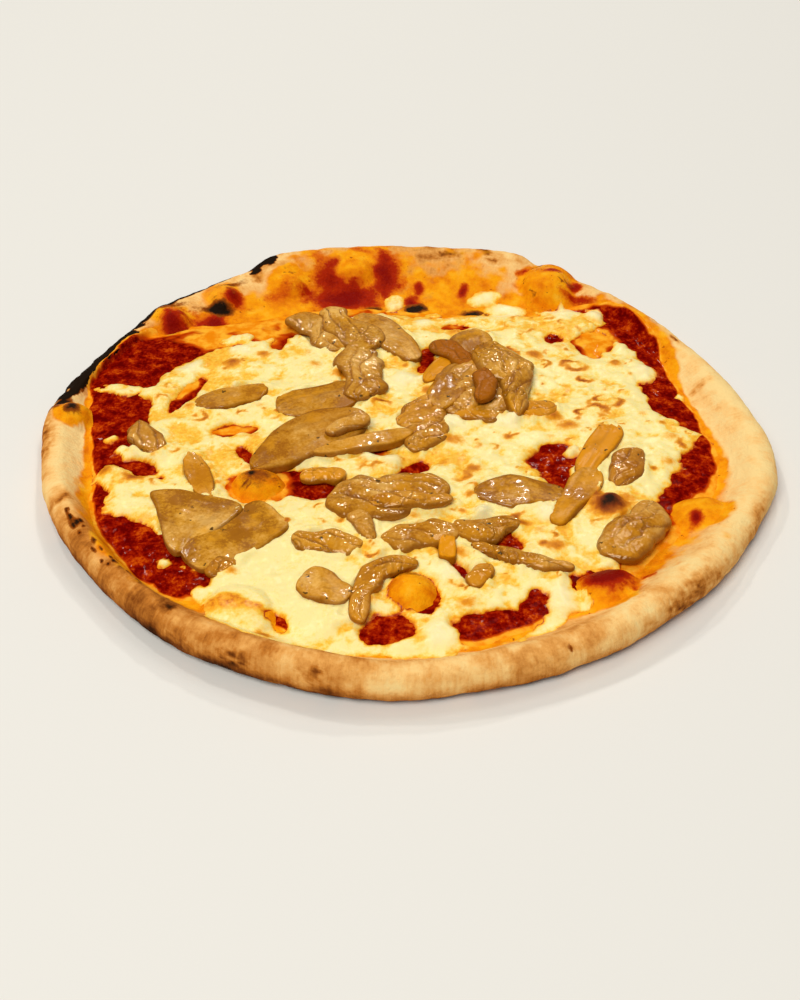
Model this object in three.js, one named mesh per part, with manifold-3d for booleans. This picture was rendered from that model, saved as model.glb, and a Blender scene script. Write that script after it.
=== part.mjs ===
// Porcini pizza: a hand-stretched round of baked dough with a raised, blistered rim,
// a thin layer of tomato sauce, a melted sheet of mozzarella and porcini pieces on top.
// Millimetres. X runs to the right of the front, Y to the back, Z up.
// The origin is on the underside of the dough, below its middle.

import * as THREE from "three";
import { mergeVertices } from "three/addons/utils/BufferGeometryUtils.js";
import Module from "manifold-3d";

const wasm = await Module();
wasm.setup();

// Heights of the layers
const BASE_TOP = 4.0;
const SAUCE_THICKNESS = 1.3;
const CHEESE_THICKNESS = 2.0;
const LAYER_GAP = 0.3;
const SAUCE_BOTTOM = BASE_TOP + LAYER_GAP;
const SAUCE_TOP = SAUCE_BOTTOM + SAUCE_THICKNESS;
const CHEESE_BOTTOM = SAUCE_TOP + LAYER_GAP;
const CHEESE_TOP = CHEESE_BOTTOM + CHEESE_THICKNESS;
const TOPPING_REST = CHEESE_TOP + LAYER_GAP;

// The sauce and the cheese from the middle over the edge to the underside: share of the radius,
// height and rounding of the edge, both as a share of the thickness
const LAYER_SECTION = [
  [0, 1, 0],
  [0.5, 1, 0],
  [0.8, 1, 0],
  [1, 0.85, 0.5],
  [1, 0.5, 0],
  [1, 0, 0.3],
  [0.5, 0, 0],
  [0, 0, 0],
];

// The rim of the dough, every 15 degrees anticlockwise from +X
const RIM_RADIUS = [
  155, 152, 150, 151, 153, 151, 149, 149, 152, 153, 154, 155,
  157, 154, 153, 153, 155, 156, 156, 155, 154, 155, 156, 158,
];
const RIM_WIDTH = [
  24, 22, 18, 18, 44, 50, 48, 42, 42, 30, 11, 10,
  20, 20, 17, 16, 24, 22, 22, 22, 24, 26, 26, 24,
];
const RIM_HEIGHT = [
  12, 11, 11, 11, 11, 11, 11, 12, 12, 11, 8, 8,
  10, 12, 14, 14, 15, 15, 14, 14, 14, 14, 13, 13,
];
const RIM_LIP = 8;
// The lip from the crown round to the underside: how far in from the edge, as a share of the lip,
// and how high, as a share of the rim
const LIP_SECTION = [
  [0.55, 0.96],
  [0.22, 0.82],
  [0, 0.52],
  [0.12, 0.26],
  [0.45, 0.08],
];
const UNDERSIDE_INSET = 9;

// Stretches of the rim that rose more in the oven: middle and half width in degrees,
// steepness of the ends, extra radius, extra height
const RIM_SWELLS = [
  [92, 28, 20, 1.5, 4.6],
  [349, 10, 4, 3.0, 0.8],
];
const RIM_RIPPLE = 0.5;

// Edge of the melted cheese, every 15 degrees like the rim
const CHEESE_RADIUS = [
  132, 128, 131, 132, 113, 97, 94, 95, 91, 98, 112, 116,
  111, 134, 132, 118, 140, 139, 136, 134, 133, 120, 112, 121,
];
const SAUCE_INSET = 1.5;

// Blisters of the dough: x, y, radius, height of the crown
const BLISTERS = [
  [-60, -40, 11, 11.5],
  [4, -104, 10.5, 11.5],
  [78, -103, 12, 11.5],
  [84, -55, 7.5, 9],
  [73, 115, 16, 18],
  [-22, 129, 13, 16],
  [-56, 116, 10, 14],
  [-89, 106, 10.5, 13.5],
  [-112, 87, 10, 12.5],
  [-145, 7, 8.5, 13],
  [-60, -115, 15, 9.5],
  [121, -58, 12, 11],
];
const BLISTER_ROOT = 3.0;
const BLISTER_SKIRT = 1.0;
const BLISTER_CLEARANCE = 0.5;

// Sauce pools, where the cheese has drawn back: x, y, half length, half width, heading in degrees
const POOLS = [
  [-126, 5, 20, 13, -70],
  [-103, -79, 32, 11, -36],
  [-41, -39, 22, 8, -12],
  [65, -26, 15, 9, 76],
  [107, 82, 26, 12, -62],
  [120, 56, 15, 9, -75],
  [124, 15, 22, 8, -52],
  [124, -32, 17, 8, 48],
  [110, -54, 16, 7, 62],
  [33, -121, 15, 8.5, 6],
  [50, -111, 11, 6, 76],
  [-4, -122, 10, 8, 0],
  [-57, 67, 8, 5, 80],
  [-96, 26, 13, 3.5, 66],
  [42, -77, 7, 5, 65],
  [-112, -27, 13, 4.5, -25],
  [92, 69, 12, 8, 80],
];
const POOL_FLARE = 1.12;

// How square the section of a piece is: a torn piece is rounder than a cut slice
const TORN = 0.8;
const CUT = 0.5;

// Porcini pieces, the uppermost first: name; middle; length, width and thickness;
// heading and sweep of the middle line in degrees; how much the far end is wider;
// how square the ends are; how far the piece is raised; torn or cut
const PORCINI = [
  ["petal", [37, 20], [26, 10, 6], 80, 8, 0, 1.5, 6.5, TORN],
  ["hump", [45, 43], [33, 23, 10], -58, 0, 0.1, 3, 2.5, TORN],
  ["right_lobe", [51, 24], [40, 14, 9], 86, -12, -0.1, 3, 2, TORN],
  ["left_lobe", [21, 22], [28, 16, 6.5], 78, 8, 0.1, 3, 1.5, CUT],
  ["brown_flap", [25, 53], [28, 15, 4], -50, 12, -0.4, 2.2, 1.5, TORN],
  ["disc", [34, 65], [22, 20, 5], 100, 0, 0, 2.2, 0.5, CUT],
  ["clump_body", [34, 28], [50, 36, 8], 80, 0, -0.1, 2.6, 0, TORN],
  ["side_flap", [17, 43], [26, 10, 3.5], 62, 0, 0, 2.6, 0, CUT],
  ["clump_foot", [33, 7], [22, 12, 5], 8, 0, 0, 2.6, 0, TORN],
  ["low_bit", [9, 8], [30, 18, 5.5], 50, 0, 0.1, 2.6, 0.3, TORN],
  ["nub", [61, 10], [17, 14, 5], 20, 0, 0, 2.6, 0, TORN],
  ["fan_middle", [-25, 74], [42, 19, 5], -53, 8, 0.1, 5, 2, TORN],
  ["fan_right", [-6, 70], [48, 18, 4.5], -57, -10, 0.1, 3.4, 0.5, CUT],
  ["fan_left", [-40, 74], [40, 18, 4.5], -52, 6, -0.1, 5, 0.5, TORN],
  ["round_cap", [-19, 39], [48, 21, 6], 96, 10, -0.1, 2.6, 1, TORN],
  ["curl", [-23, -6], [19, 9, 5], 22, -40, 0, 2.4, 4.5, TORN],
  ["fold", [-41, -11], [60, 24, 6], 38, -32, 0.25, 2.6, 1, CUT],
  ["broad_slab", [-37, 17], [38, 26, 4], 18, 0, -0.1, 3.4, 0, CUT],
  ["long_stem", [-16, -15.5], [44, 9, 5], 18, 10, 0, 4, 1.5, CUT],
  ["centre_bit", [10, -8], [26, 16, 5.5], 60, 0, 0, 2.4, 0.3, TORN],
  ["leaf", [-75, 20], [33, 18, 3.5], 24, 10, -0.15, 2.2, 0.2, CUT],
  ["left_oval", [-110, -11], [27, 14, 5], -60, 12, 0, 2.4, 0.3, TORN],
  ["left_sliver", [-84, -36], [32, 12, 3.5], -66, 0, -0.1, 2.4, 0.2, CUT],
  ["slab_upper", [-84, -67], [36, 27, 4], 76, 0, 0.72, 10, 0.5, CUT],
  ["slab_lower", [-66, -74], [46, 25, 4], 40, 0, 0.05, 8, 0, CUT],
  ["slab_tail", [-69, -91], [15, 8, 4], 28, 0, 0, 3, -0.5, TORN],
  ["sauce_bit", [-33, -36], [19, 10, 5], 6, 0, 0, 2.6, 0, TORN],
  ["wide_roll", [3, -55], [34, 9, 5], 4, 8, 0, 3, 2.5, TORN],
  ["wide_fold", [-6, -49], [50, 24, 6], 10, 16, 0, 3, 0.5, TORN],
  ["fold_leg", [-15, -68], [22, 9, 4], -66, 0, -0.1, 2.6, 1, TORN],
  ["chunk", [-29, -78], [28, 14, 5.5], -10, 0, -0.1, 5, 0, TORN],
  ["front_chunk", [-29, -105], [22, 15, 5.5], -35, 0, -0.2, 5, 0, CUT],
  ["front_hook", [-13, -100], [46, 10, 5], 62, -120, 0.1, 3, 0, TORN],
  ["right_lens", [47, -47], [38, 19, 5], -3, 0, 0, 2.8, 0, CUT],
  ["yellow_stem", [83, -19], [40, 12, 4.5], 64, 0, 0.1, 6, 0, CUT],
  ["right_stem", [71, -50], [40, 13, 5.5], 62, 8, 0.15, 5, 0, CUT],
  ["right_shred", [94, -31], [29, 15, 5], 70, 0, 0.15, 2.4, 0, TORN],
  ["right_roll", [92, -72], [40, 21, 8], 56, 22, 0, 2.6, 0, TORN],
  ["orange_cube", [17, -82], [12, 7, 6], 92, 0, 0, 10, 1, CUT],
  ["front_lump", [7, -74], [29, 16, 6], 14, 0, 0, 2.8, 0, TORN],
  ["front_lump_right", [33, -69], [28, 16, 6], 8, 0, 0, 2.8, 0, TORN],
  ["front_stem", [45, -88], [44, 7, 5], -20, 34, -0.1, 4, 0, TORN],
  ["front_shard", [29, -97], [14, 9, 4], 70, 0, 0, 2.4, 0, TORN],
];
const PORCINI_SUNK = 0.05;
const EDGE_WAVE = 0.06;
const TOP_WAVE = 0.12;
const END_THINNING = 0.6;

// How finely the solids are faceted
const DOUGH_COLUMNS = 96;
const SLOPE_STEPS = 4;
const LAYER_COLUMNS = 68;
const BLISTER_COLUMNS = 12;
const BLISTER_ROWS = 4;
const POOL_COLUMNS = 12;
const PORCINI_ROWS = 8;
const PORCINI_COLUMNS = 8;

// A smooth value at any angle from values given evenly round the circle
function roundValue(values, angle) {
  const count = values.length;
  const turns = angle / (2 * Math.PI);
  const place = (turns - Math.floor(turns)) * count;
  const start = Math.floor(place);
  const t = place - start;
  const [a, b, c, d] = [-1, 0, 1, 2].map((step) => values[(start + step + count) % count]);
  const linear = (c - a) / 2;
  const square = a - 2.5 * b + 2 * c - 0.5 * d;
  const cube = (d - a) / 2 + 1.5 * (b - c);
  return b + t * (linear + t * (square + t * cube));
}

// How much of one swell there is at an angle: one in its middle, falling off at its ends
function swellShare([middle, halfWidth, steepness], angle) {
  const away = THREE.MathUtils.euclideanModulo(THREE.MathUtils.radToDeg(angle) - middle + 180, 360) - 180;
  return Math.exp(-(Math.abs(away / halfWidth) ** steepness));
}

function rimRadius(angle) {
  const swell = RIM_SWELLS.reduce((sum, row) => sum + row[3] * swellShare(row, angle), 0);
  const ripple = RIM_RIPPLE * Math.sin(11 * angle + 0.6);
  return roundValue(RIM_RADIUS, angle) + swell + ripple;
}

function rimHeight(angle) {
  const swell = RIM_SWELLS.reduce((sum, row) => sum + row[4] * swellShare(row, angle), 0);
  const ripple = RIM_RIPPLE * (Math.sin(7 * angle + 1) + 0.6 * Math.sin(13 * angle));
  return roundValue(RIM_HEIGHT, angle) + swell + ripple;
}

// A closed surface from rows of points; the first and the last row are single points
function closedSurface(pointAt, rows, columns) {
  const points = [pointAt(0, 0)];
  for (let row = 1; row < rows; row += 1) {
    for (let column = 0; column < columns; column += 1) {
      points.push(pointAt(row, column));
    }
  }
  points.push(pointAt(rows, 0));
  const last = points.length - 1;
  const at = (row, column) => 1 + (row - 1) * columns + (column % columns);
  const faces = [];
  for (let column = 0; column < columns; column += 1) {
    faces.push(0, at(1, column), at(1, column + 1));
    for (let row = 1; row < rows - 1; row += 1) {
      faces.push(at(row, column), at(row + 1, column), at(row + 1, column + 1));
      faces.push(at(row, column), at(row + 1, column + 1), at(row, column + 1));
    }
    faces.push(at(rows - 1, column), last, at(rows - 1, column + 1));
  }
  const geometry = new THREE.BufferGeometry();
  geometry.setFromPoints(points);
  geometry.setIndex(faces);
  return geometry;
}

function solidFrom(geometry) {
  geometry.deleteAttribute("normal");
  geometry.deleteAttribute("uv");
  const welded = mergeVertices(geometry, 1e-4);
  const mesh = new wasm.Mesh({
    numProp: 3,
    vertProperties: new Float32Array(welded.attributes.position.array),
    triVerts: new Uint32Array(welded.index.array),
  });
  return new wasm.Manifold(mesh);
}

function geometryFrom(solid) {
  const mesh = solid.getMesh();
  const geometry = new THREE.BufferGeometry();
  geometry.setAttribute("position", new THREE.BufferAttribute(new Float32Array(mesh.vertProperties), 3));
  geometry.setIndex(new THREE.BufferAttribute(new Uint32Array(mesh.triVerts), 1));
  geometry.computeVertexNormals();
  return geometry;
}

function largestBody(solid) {
  const bodies = solid.decompose();
  bodies.sort((a, b) => b.volume() - a.volume());
  return bodies[0];
}

// Dough: the section of the rim from its foot over the crown to the underside,
// as a radius and a height at one angle
function doughSection(angle) {
  const radius = rimRadius(angle);
  const width = roundValue(RIM_WIDTH, angle);
  const height = rimHeight(angle);
  const foot = radius - width;
  const section = [[0, BASE_TOP], [foot * 0.5, BASE_TOP]];
  for (let step = 0; step <= SLOPE_STEPS; step += 1) {
    const share = step / SLOPE_STEPS;
    const rise = 0.5 - 0.5 * Math.cos(Math.PI * share);
    section.push([foot + (width - RIM_LIP) * share, BASE_TOP + (height - BASE_TOP) * rise]);
  }
  for (const [inset, rise] of LIP_SECTION) {
    section.push([radius - inset * RIM_LIP, rise * height]);
  }
  section.push([radius - UNDERSIDE_INSET, 0]);
  section.push([0, 0]);
  return section;
}

function doughGeometry() {
  const sections = Array.from({ length: DOUGH_COLUMNS }, (_, column) =>
    doughSection((2 * Math.PI * column) / DOUGH_COLUMNS),
  );
  const pointAt = (row, column) => {
    const angle = (2 * Math.PI * column) / DOUGH_COLUMNS;
    const [radius, height] = sections[column][row];
    return new THREE.Vector3(radius * Math.cos(angle), radius * Math.sin(angle), height);
  };
  return closedSurface(pointAt, sections[0].length - 1, DOUGH_COLUMNS);
}

// A blister: half an ellipsoid on a short skirt that is sunk in the dough
function blisterGeometry([x, y, radius, crown], grow) {
  const pointAt = (row, column) => {
    const turn = (2 * Math.PI * column) / BLISTER_COLUMNS;
    const slope = (0.5 * Math.PI * Math.min(row, BLISTER_ROWS)) / BLISTER_ROWS;
    const reach = row > BLISTER_ROWS + 1 ? 0 : (radius + grow) * Math.sin(slope);
    const dome = BLISTER_ROOT + (crown + grow - BLISTER_ROOT) * Math.cos(slope);
    const height = row > BLISTER_ROWS ? BLISTER_SKIRT : dome;
    return new THREE.Vector3(x + reach * Math.cos(turn), y + reach * Math.sin(turn), height);
  };
  return closedSurface(pointAt, BLISTER_ROWS + 2, BLISTER_COLUMNS);
}

// A flat layer with a rounded edge, its outline given by a radius at each angle
function layerGeometry(radiusAt, bottom, top) {
  const thickness = top - bottom;
  const pointAt = (row, column) => {
    const angle = (2 * Math.PI * column) / LAYER_COLUMNS;
    const [share, rise, rounding] = LAYER_SECTION[row];
    const reach = radiusAt(angle) * share - rounding * thickness;
    return new THREE.Vector3(reach * Math.cos(angle), reach * Math.sin(angle), bottom + rise * thickness);
  };
  return closedSurface(pointAt, LAYER_SECTION.length - 1, LAYER_COLUMNS);
}

// The cutter for one sauce pool: an ellipse that flares towards its top
function poolGeometry([x, y, halfLength, halfWidth, heading]) {
  const depth = CHEESE_THICKNESS + 2 * LAYER_GAP;
  const cutter = new THREE.CylinderGeometry(POOL_FLARE, 1, depth, POOL_COLUMNS);
  cutter.rotateX(Math.PI / 2);
  cutter.scale(halfLength, halfWidth, 1);
  cutter.rotateZ(THREE.MathUtils.degToRad(heading));
  cutter.translate(x, y, CHEESE_BOTTOM - LAYER_GAP + depth / 2);
  return cutter;
}

// A porcini piece: a rounded section carried along an arc, narrowing to both ends,
// with uneven edges and an uneven top
function porciniGeometry(piece, grow) {
  const [, [x, y], [length, width, thickness], heading, sweep, taper, blunt, lift, power] = piece;
  const turn = THREE.MathUtils.degToRad(heading);
  const bend = THREE.MathUtils.degToRad(sweep);
  const middle = TOPPING_REST + lift - PORCINI_SUNK * thickness;
  const reach = length / 2 + grow;
  const phase = length + 2 * width + turn;
  const soften = (value) => Math.sign(value) * Math.abs(value) ** power;
  const pointAt = (row, column) => {
    const along = -Math.cos((Math.PI * row) / PORCINI_ROWS);
    const end = Math.sqrt(1 - Math.abs(along) ** blunt);
    const facing = turn + (bend * along) / 2;
    const chord = bend === 0 ? along : Math.sin((bend * along) / 4) / (bend / 4);
    const chordHeading = turn + (bend * along) / 4;
    const around = (-2 * Math.PI * column) / PORCINI_COLUMNS;
    const across = soften(Math.cos(around));
    const edge = 1 + EDGE_WAVE * Math.sin(4 * along + phase + 2 * Math.sign(across));
    const crown = 1 + TOP_WAVE * Math.sin(3 * along + 2 * across + phase);
    const side = (width / 2) * end * (1 + taper * along) * edge * across + grow * across;
    const rise = (thickness / 2) * end ** END_THINNING * crown * soften(Math.sin(around));
    return new THREE.Vector3(
      x + reach * chord * Math.cos(chordHeading) - side * Math.sin(facing),
      y + reach * chord * Math.sin(chordHeading) + side * Math.cos(facing),
      middle + rise + grow * Math.sin(around),
    );
  };
  return closedSurface(pointAt, PORCINI_ROWS, PORCINI_COLUMNS);
}

// Materials
const DOUGH = new THREE.MeshStandardMaterial({ color: 0xe8b676, roughness: 0.8, metalness: 0 });
const SAUCE = new THREE.MeshStandardMaterial({ color: 0x9a1606, roughness: 0.35, metalness: 0 });
const CHEESE = new THREE.MeshStandardMaterial({ color: 0xf8e6a8, roughness: 0.4, metalness: 0 });
const MUSHROOM = new THREE.MeshStandardMaterial({ color: 0xbe8440, roughness: 0.4, metalness: 0 });

const group = new THREE.Group();

function add(name, solid, material) {
  const mesh = new THREE.Mesh(geometryFrom(solid), material);
  mesh.name = name;
  group.add(mesh);
}

// The dough with its blisters fused on
const blisters = BLISTERS.map((blister) => solidFrom(blisterGeometry(blister, 0)));
const roomFor = (blister) => solidFrom(blisterGeometry(blister, BLISTER_CLEARANCE));
const blisterRoom = wasm.Manifold.union(BLISTERS.map(roomFor));
add("crust", wasm.Manifold.union([solidFrom(doughGeometry()), ...blisters]), DOUGH);

// The sauce lies inside the foot of the rim, open where a blister comes through
const sauceRadius = (angle) => rimRadius(angle) - roundValue(RIM_WIDTH, angle) - SAUCE_INSET;
const sauce = solidFrom(layerGeometry(sauceRadius, SAUCE_BOTTOM, SAUCE_TOP)).subtract(blisterRoom);
add("tomato_sauce", largestBody(sauce), SAUCE);

// The cheese, drawn back from the pools of sauce
const cheeseLimit = (angle) => sauceRadius(angle) - SAUCE_INSET;
const cheeseRadius = (angle) => Math.min(roundValue(CHEESE_RADIUS, angle), cheeseLimit(angle));
const pools = wasm.Manifold.union(POOLS.map((pool) => solidFrom(poolGeometry(pool))));
const sheet = solidFrom(layerGeometry(cheeseRadius, CHEESE_BOTTOM, CHEESE_TOP));
add("mozzarella", largestBody(sheet.subtract(pools).subtract(blisterRoom)), CHEESE);

// The porcini rest on the cheese; each one makes room for the pieces that lie on it
const span = 2 * Math.max(...RIM_RADIUS);
const below = new THREE.BoxGeometry(span, span, TOPPING_REST);
below.translate(0, 0, TOPPING_REST / 2);
let taken = solidFrom(below).add(blisterRoom);
for (const piece of PORCINI) {
  const free = largestBody(solidFrom(porciniGeometry(piece, 0)).subtract(taken));
  add(`porcini_${piece[0]}`, free, MUSHROOM);
  taken = taken.add(solidFrom(porciniGeometry(piece, LAYER_GAP)));
}

export default group;
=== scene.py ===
"""A baked porcini pizza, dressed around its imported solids: dough, tomato sauce, mozzarella, mushrooms."""

import itertools
import math

import bpy
import numpy as np
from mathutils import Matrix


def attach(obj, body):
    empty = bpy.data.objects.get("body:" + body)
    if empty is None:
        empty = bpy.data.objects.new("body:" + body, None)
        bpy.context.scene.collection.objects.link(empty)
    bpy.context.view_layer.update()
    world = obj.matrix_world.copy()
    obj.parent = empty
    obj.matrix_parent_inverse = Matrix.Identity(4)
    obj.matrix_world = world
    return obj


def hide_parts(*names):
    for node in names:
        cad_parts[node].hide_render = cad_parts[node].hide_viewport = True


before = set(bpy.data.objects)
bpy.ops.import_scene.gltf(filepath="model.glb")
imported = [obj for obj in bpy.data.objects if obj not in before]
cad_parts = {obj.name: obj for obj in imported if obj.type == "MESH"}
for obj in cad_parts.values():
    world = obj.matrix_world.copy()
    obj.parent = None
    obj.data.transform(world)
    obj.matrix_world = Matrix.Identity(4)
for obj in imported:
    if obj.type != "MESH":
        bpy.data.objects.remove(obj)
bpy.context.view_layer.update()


# Viewpoint
# The camera stands in front of the pizza and looks down at it, level from side to side,
# from a little over half a metre, which is how close a guest sits to it.
VIEW_RISE = math.radians(39.65)
VIEW_DISTANCE = 0.54
VIEW_AIM = (-0.0006, -0.0424, 0.0)
VIEW_LENS = 46.94


def add_object(name, data):
    """A new object of this data at the origin, put into the scene."""
    thing = bpy.data.objects.new(name, data)
    bpy.context.scene.collection.objects.link(thing)
    return thing


camera = add_object("viewpoint", bpy.data.cameras.new("viewpoint"))
camera.data.lens = VIEW_LENS
camera.data.clip_start = 0.01
camera.location = (
    VIEW_AIM[0],
    VIEW_AIM[1] - VIEW_DISTANCE * math.cos(VIEW_RISE),
    VIEW_AIM[2] + VIEW_DISTANCE * math.sin(VIEW_RISE),
)
camera.rotation_euler = (math.pi / 2 - VIEW_RISE, 0.0, 0.0)
bpy.context.scene.camera = camera


# Dough
# A hand-stretched round of wheat dough, thin in the middle, with a rim that puffed up in
# a very hot oven. It is pale on top and darker down its wall, partly toasted and partly painted
# shade, darkest at its foot; it is scorched black at the back left, blistered all over, and
# stained orange by oil and tomato at the foot of the rim.
MM = 0.001
BASE_TOP = 4.0 * MM
# outer radius, width and height of the rim every 15 degrees, from the right side anticlockwise
RIM_RADIUS = MM * np.array([
    155, 152, 150, 151, 153, 151, 149, 149, 152, 153, 154, 155,
    157, 154, 153, 153, 155, 156, 156, 155, 154, 155, 156, 158,
])
RIM_WIDTH = MM * np.array([
    24, 22, 18, 18, 44, 50, 48, 42, 42, 30, 11, 10,
    20, 20, 17, 16, 24, 22, 22, 22, 24, 26, 26, 24,
])
RIM_HEIGHT = MM * np.array([
    12, 11, 11, 11, 11, 11, 11, 12, 12, 11, 8, 8,
    10, 12, 14, 14, 15, 15, 14, 14, 14, 14, 13, 13,
])
RIM_LIP = 8.0 * MM
RIM_RIPPLE = 0.5 * MM
# middle and half width in degrees, steepness of the ends, extra radius and extra height
RIM_SWELLS = [
    (92, 28, 20, 1.5 * MM, 4.6 * MM),
    (349, 10, 4, 3.0 * MM, 0.8 * MM),
]
# x, y, radius and crown height of each blister in millimetres, its share of oil and of scorching,
# and how far it stands clear of the tomato round it
BLISTERS = [
    (-60, -40, 11, 11.5, 1.0, 0.6, 0),
    (4, -104, 10.5, 11.5, 1.0, 0.2, 0),
    (78, -103, 12, 11.5, 0.9, 0.1, 0),
    (84, -55, 7.5, 9, 0.6, 0.2, 0),
    (73, 115, 16, 17, 1.0, 0.45, 0),
    (-22, 129, 13, 16, 0.9, 0.2, 1),
    (-56, 116, 10, 14, 1.0, 0.35, 0),
    (-89, 106, 10.5, 13.5, 0.7, 0.3, 0),
    (-112, 87, 10, 12.5, 0.8, 0.35, 0),
    (-145, 7, 8.5, 13, 0.9, 0.3, 0),
    (-60, -115, 15, 9.5, 0.3, 0.0, 0),
    (121, -58, 12, 11, 1.0, 0.15, 0),
]
BLISTER_ROOT = 3.0 * MM
NOISE_CELLS = 48


def round_value(values, angle):
    """Smooth value at any angle: a Catmull-Rom curve through values set evenly round the circle."""
    place = (angle / (2 * np.pi) % 1.0) * len(values)
    start = np.floor(place).astype(int)
    t = place - start
    a, b, c, d = (values[(start + step) % len(values)] for step in (-1, 0, 1, 2))
    linear = (c - a) / 2
    square = a - 2.5 * b + 2 * c - 0.5 * d
    cube = (d - a) / 2 + 1.5 * (b - c)
    return b + t * (linear + t * (square + t * cube))


def uneven(points, size, seed):
    """Random relief from -1 to 1: random values at the corners of a cubic lattice of this
    cell size, blended across each cell by a smooth step in all three directions."""
    table = np.random.default_rng(seed).uniform(-1, 1, (NOISE_CELLS,) * 3)
    place = np.asarray(points) / size
    corner = np.floor(place).astype(int)
    part = place - corner
    blend = part * part * (3 - 2 * part)
    total = np.zeros(place.shape[:-1])
    for step in itertools.product((0, 1), repeat=3):
        weight = np.prod(np.where(np.array(step) == 1, blend, 1 - blend), axis=-1)
        cell = (corner + step) % NOISE_CELLS
        total += weight * table[cell[..., 0], cell[..., 1], cell[..., 2]]
    return total


def rough(points, size, seed):
    """Random relief of three sizes, each about half as large and half as strong as the last."""
    second = 0.5 * uneven(points, size / 2.1, seed + 100)
    third = 0.25 * uneven(points, size / 4.4, seed + 200)
    return (uneven(points, size, seed) + second + third) / 1.75


def flat_points(x, y):
    """Points of a plan, x and y, as rows of x, y and a height of zero."""
    return np.stack([x, y, np.zeros_like(x)], axis=-1)


def smooth_step(low, high, value):
    """Nought at low, one at high, and a smooth S between them."""
    t = np.clip((value - low) / (high - low), 0, 1)
    return t * t * (3 - 2 * t)


def swell_share(swell, angle):
    """One in the middle of a swell and nought away from it: exp(-|turn / half width|^steepness)."""
    away = (np.degrees(angle) - swell[0] + 180) % 360 - 180
    return np.exp(-np.abs(away / swell[1]) ** swell[2])


def rim_radius(angle):
    """Outer radius of the rim: the curve through RIM_RADIUS, the swells and a ripple of 11 waves."""
    swell = sum(row[3] * swell_share(row, angle) for row in RIM_SWELLS)
    return round_value(RIM_RADIUS, angle) + swell + RIM_RIPPLE * np.sin(11 * angle + 0.6)


def rim_height(angle):
    """Height of the rim: the curve through RIM_HEIGHT, the swells and ripples of 7 and 13 waves."""
    swell = sum(row[4] * swell_share(row, angle) for row in RIM_SWELLS)
    ripple = RIM_RIPPLE * (np.sin(7 * angle + 1) + 0.6 * np.sin(13 * angle))
    return round_value(RIM_HEIGHT, angle) + swell + ripple


def slope_top(x, y):
    """Top of the dough without blisters: flat inside the foot of the rim, then half a cosine
    wave up to the crown of the lip."""
    angle = np.arctan2(y, x)
    radius = rim_radius(angle)
    width = round_value(RIM_WIDTH, angle)
    share = np.clip((np.hypot(x, y) - radius + width) / (width - RIM_LIP), 0, 1)
    return BASE_TOP + (rim_height(angle) - BASE_TOP) * (0.5 - 0.5 * np.cos(np.pi * share))


def dough_lumps(points):
    """Uneven skin of the dough, in metres: random relief of three sizes."""
    large = 0.9 * rough(points, 24 * MM, 1)
    small = 0.5 * rough(points, 7 * MM, 2)
    return MM * (large + small + 0.14 * uneven(points, 1.6 * MM, 3))


def lumps_share(x, y):
    """How far the skin is lumpy: nought in the middle of the floor and one on the rim."""
    angle = np.arctan2(y, x)
    foot = rim_radius(angle) - round_value(RIM_WIDTH, angle)
    return smooth_step(0.4 * foot, 1.02 * foot, np.hypot(x, y))


def dough_top(x, y):
    """Top of the lumpy dough without blisters: the slope and its share of the lumps."""
    level = slope_top(x, y)
    return level + lumps_share(x, y) * dough_lumps(np.stack([x, y, level], axis=-1))


def blister_top(x, y, blister):
    """Height of one blister: half an ellipsoid on its root, with a wavering outline, and a
    steep fall outside it."""
    bx, by, radius, crown = (MM * value for value in blister[:4])
    waver = 1 + 0.14 * uneven(flat_points(x, y), 0.9 * radius, 7)
    reach = np.hypot(x - bx, y - by) / (radius * waver)
    dome = np.sqrt(np.clip(1 - reach**2, 0, 1)) - 4 * np.clip(reach - 1, 0, None)
    return BLISTER_ROOT + (crown - BLISTER_ROOT) * dome


def soft_max(a, b, softness):
    """The larger of two heights, with the crease between them rounded over this softness."""
    return np.logaddexp(a / softness, b / softness) * softness


def ellipse_reach(x, y, spot):
    """How far out a point is in a turned ellipse: nought at its middle and one on its edge."""
    sx, sy, half_length, half_width, heading = spot
    turn = math.radians(heading)
    dx = x / MM - sx
    dy = y / MM - sy
    along = (dx * math.cos(turn) + dy * math.sin(turn)) / half_length
    across = (dy * math.cos(turn) - dx * math.sin(turn)) / half_width
    return np.hypot(along, across)


def spots_mask(x, y, spots, softness):
    """Mask of a set of turned ellipses: one inside any of them, falling off at a soft, ragged edge."""
    ragged = 0.5 * rough(flat_points(x, y), 7 * MM, 31)
    mask = np.zeros_like(x)
    for spot in spots:
        inside = 1 - smooth_step(1 - softness, 1 + softness, ellipse_reach(x, y, spot) + ragged)
        mask = np.maximum(mask, inside)
    return mask


def piece_object(name, points, faces, values, material):
    """A smooth-shaded mesh at the origin from an array of points, faces as index rows, and one
    named value per point for each attribute that the material reads."""
    mesh = bpy.data.meshes.new(name)
    mesh.from_pydata(points.reshape(-1, 3), [], faces)
    mesh.shade_smooth()
    for key, value in values.items():
        attribute = mesh.attributes.new(key, "FLOAT", "POINT")
        attribute.data.foreach_set("value", np.ascontiguousarray(value, dtype=np.float32).ravel())
    mesh.materials.append(material)
    return add_object(name, mesh)


def grid_faces(rows, columns):
    """Quads between neighbouring rows of a grid that closes on itself along each row."""
    row, column = np.meshgrid(np.arange(rows - 1), np.arange(columns), indexing="ij")
    beside = (column + 1) % columns
    quads = [row * columns + column, (row + 1) * columns + column]
    quads += [(row + 1) * columns + beside, row * columns + beside]
    return np.stack(quads, axis=-1).reshape(-1, 4)


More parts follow.
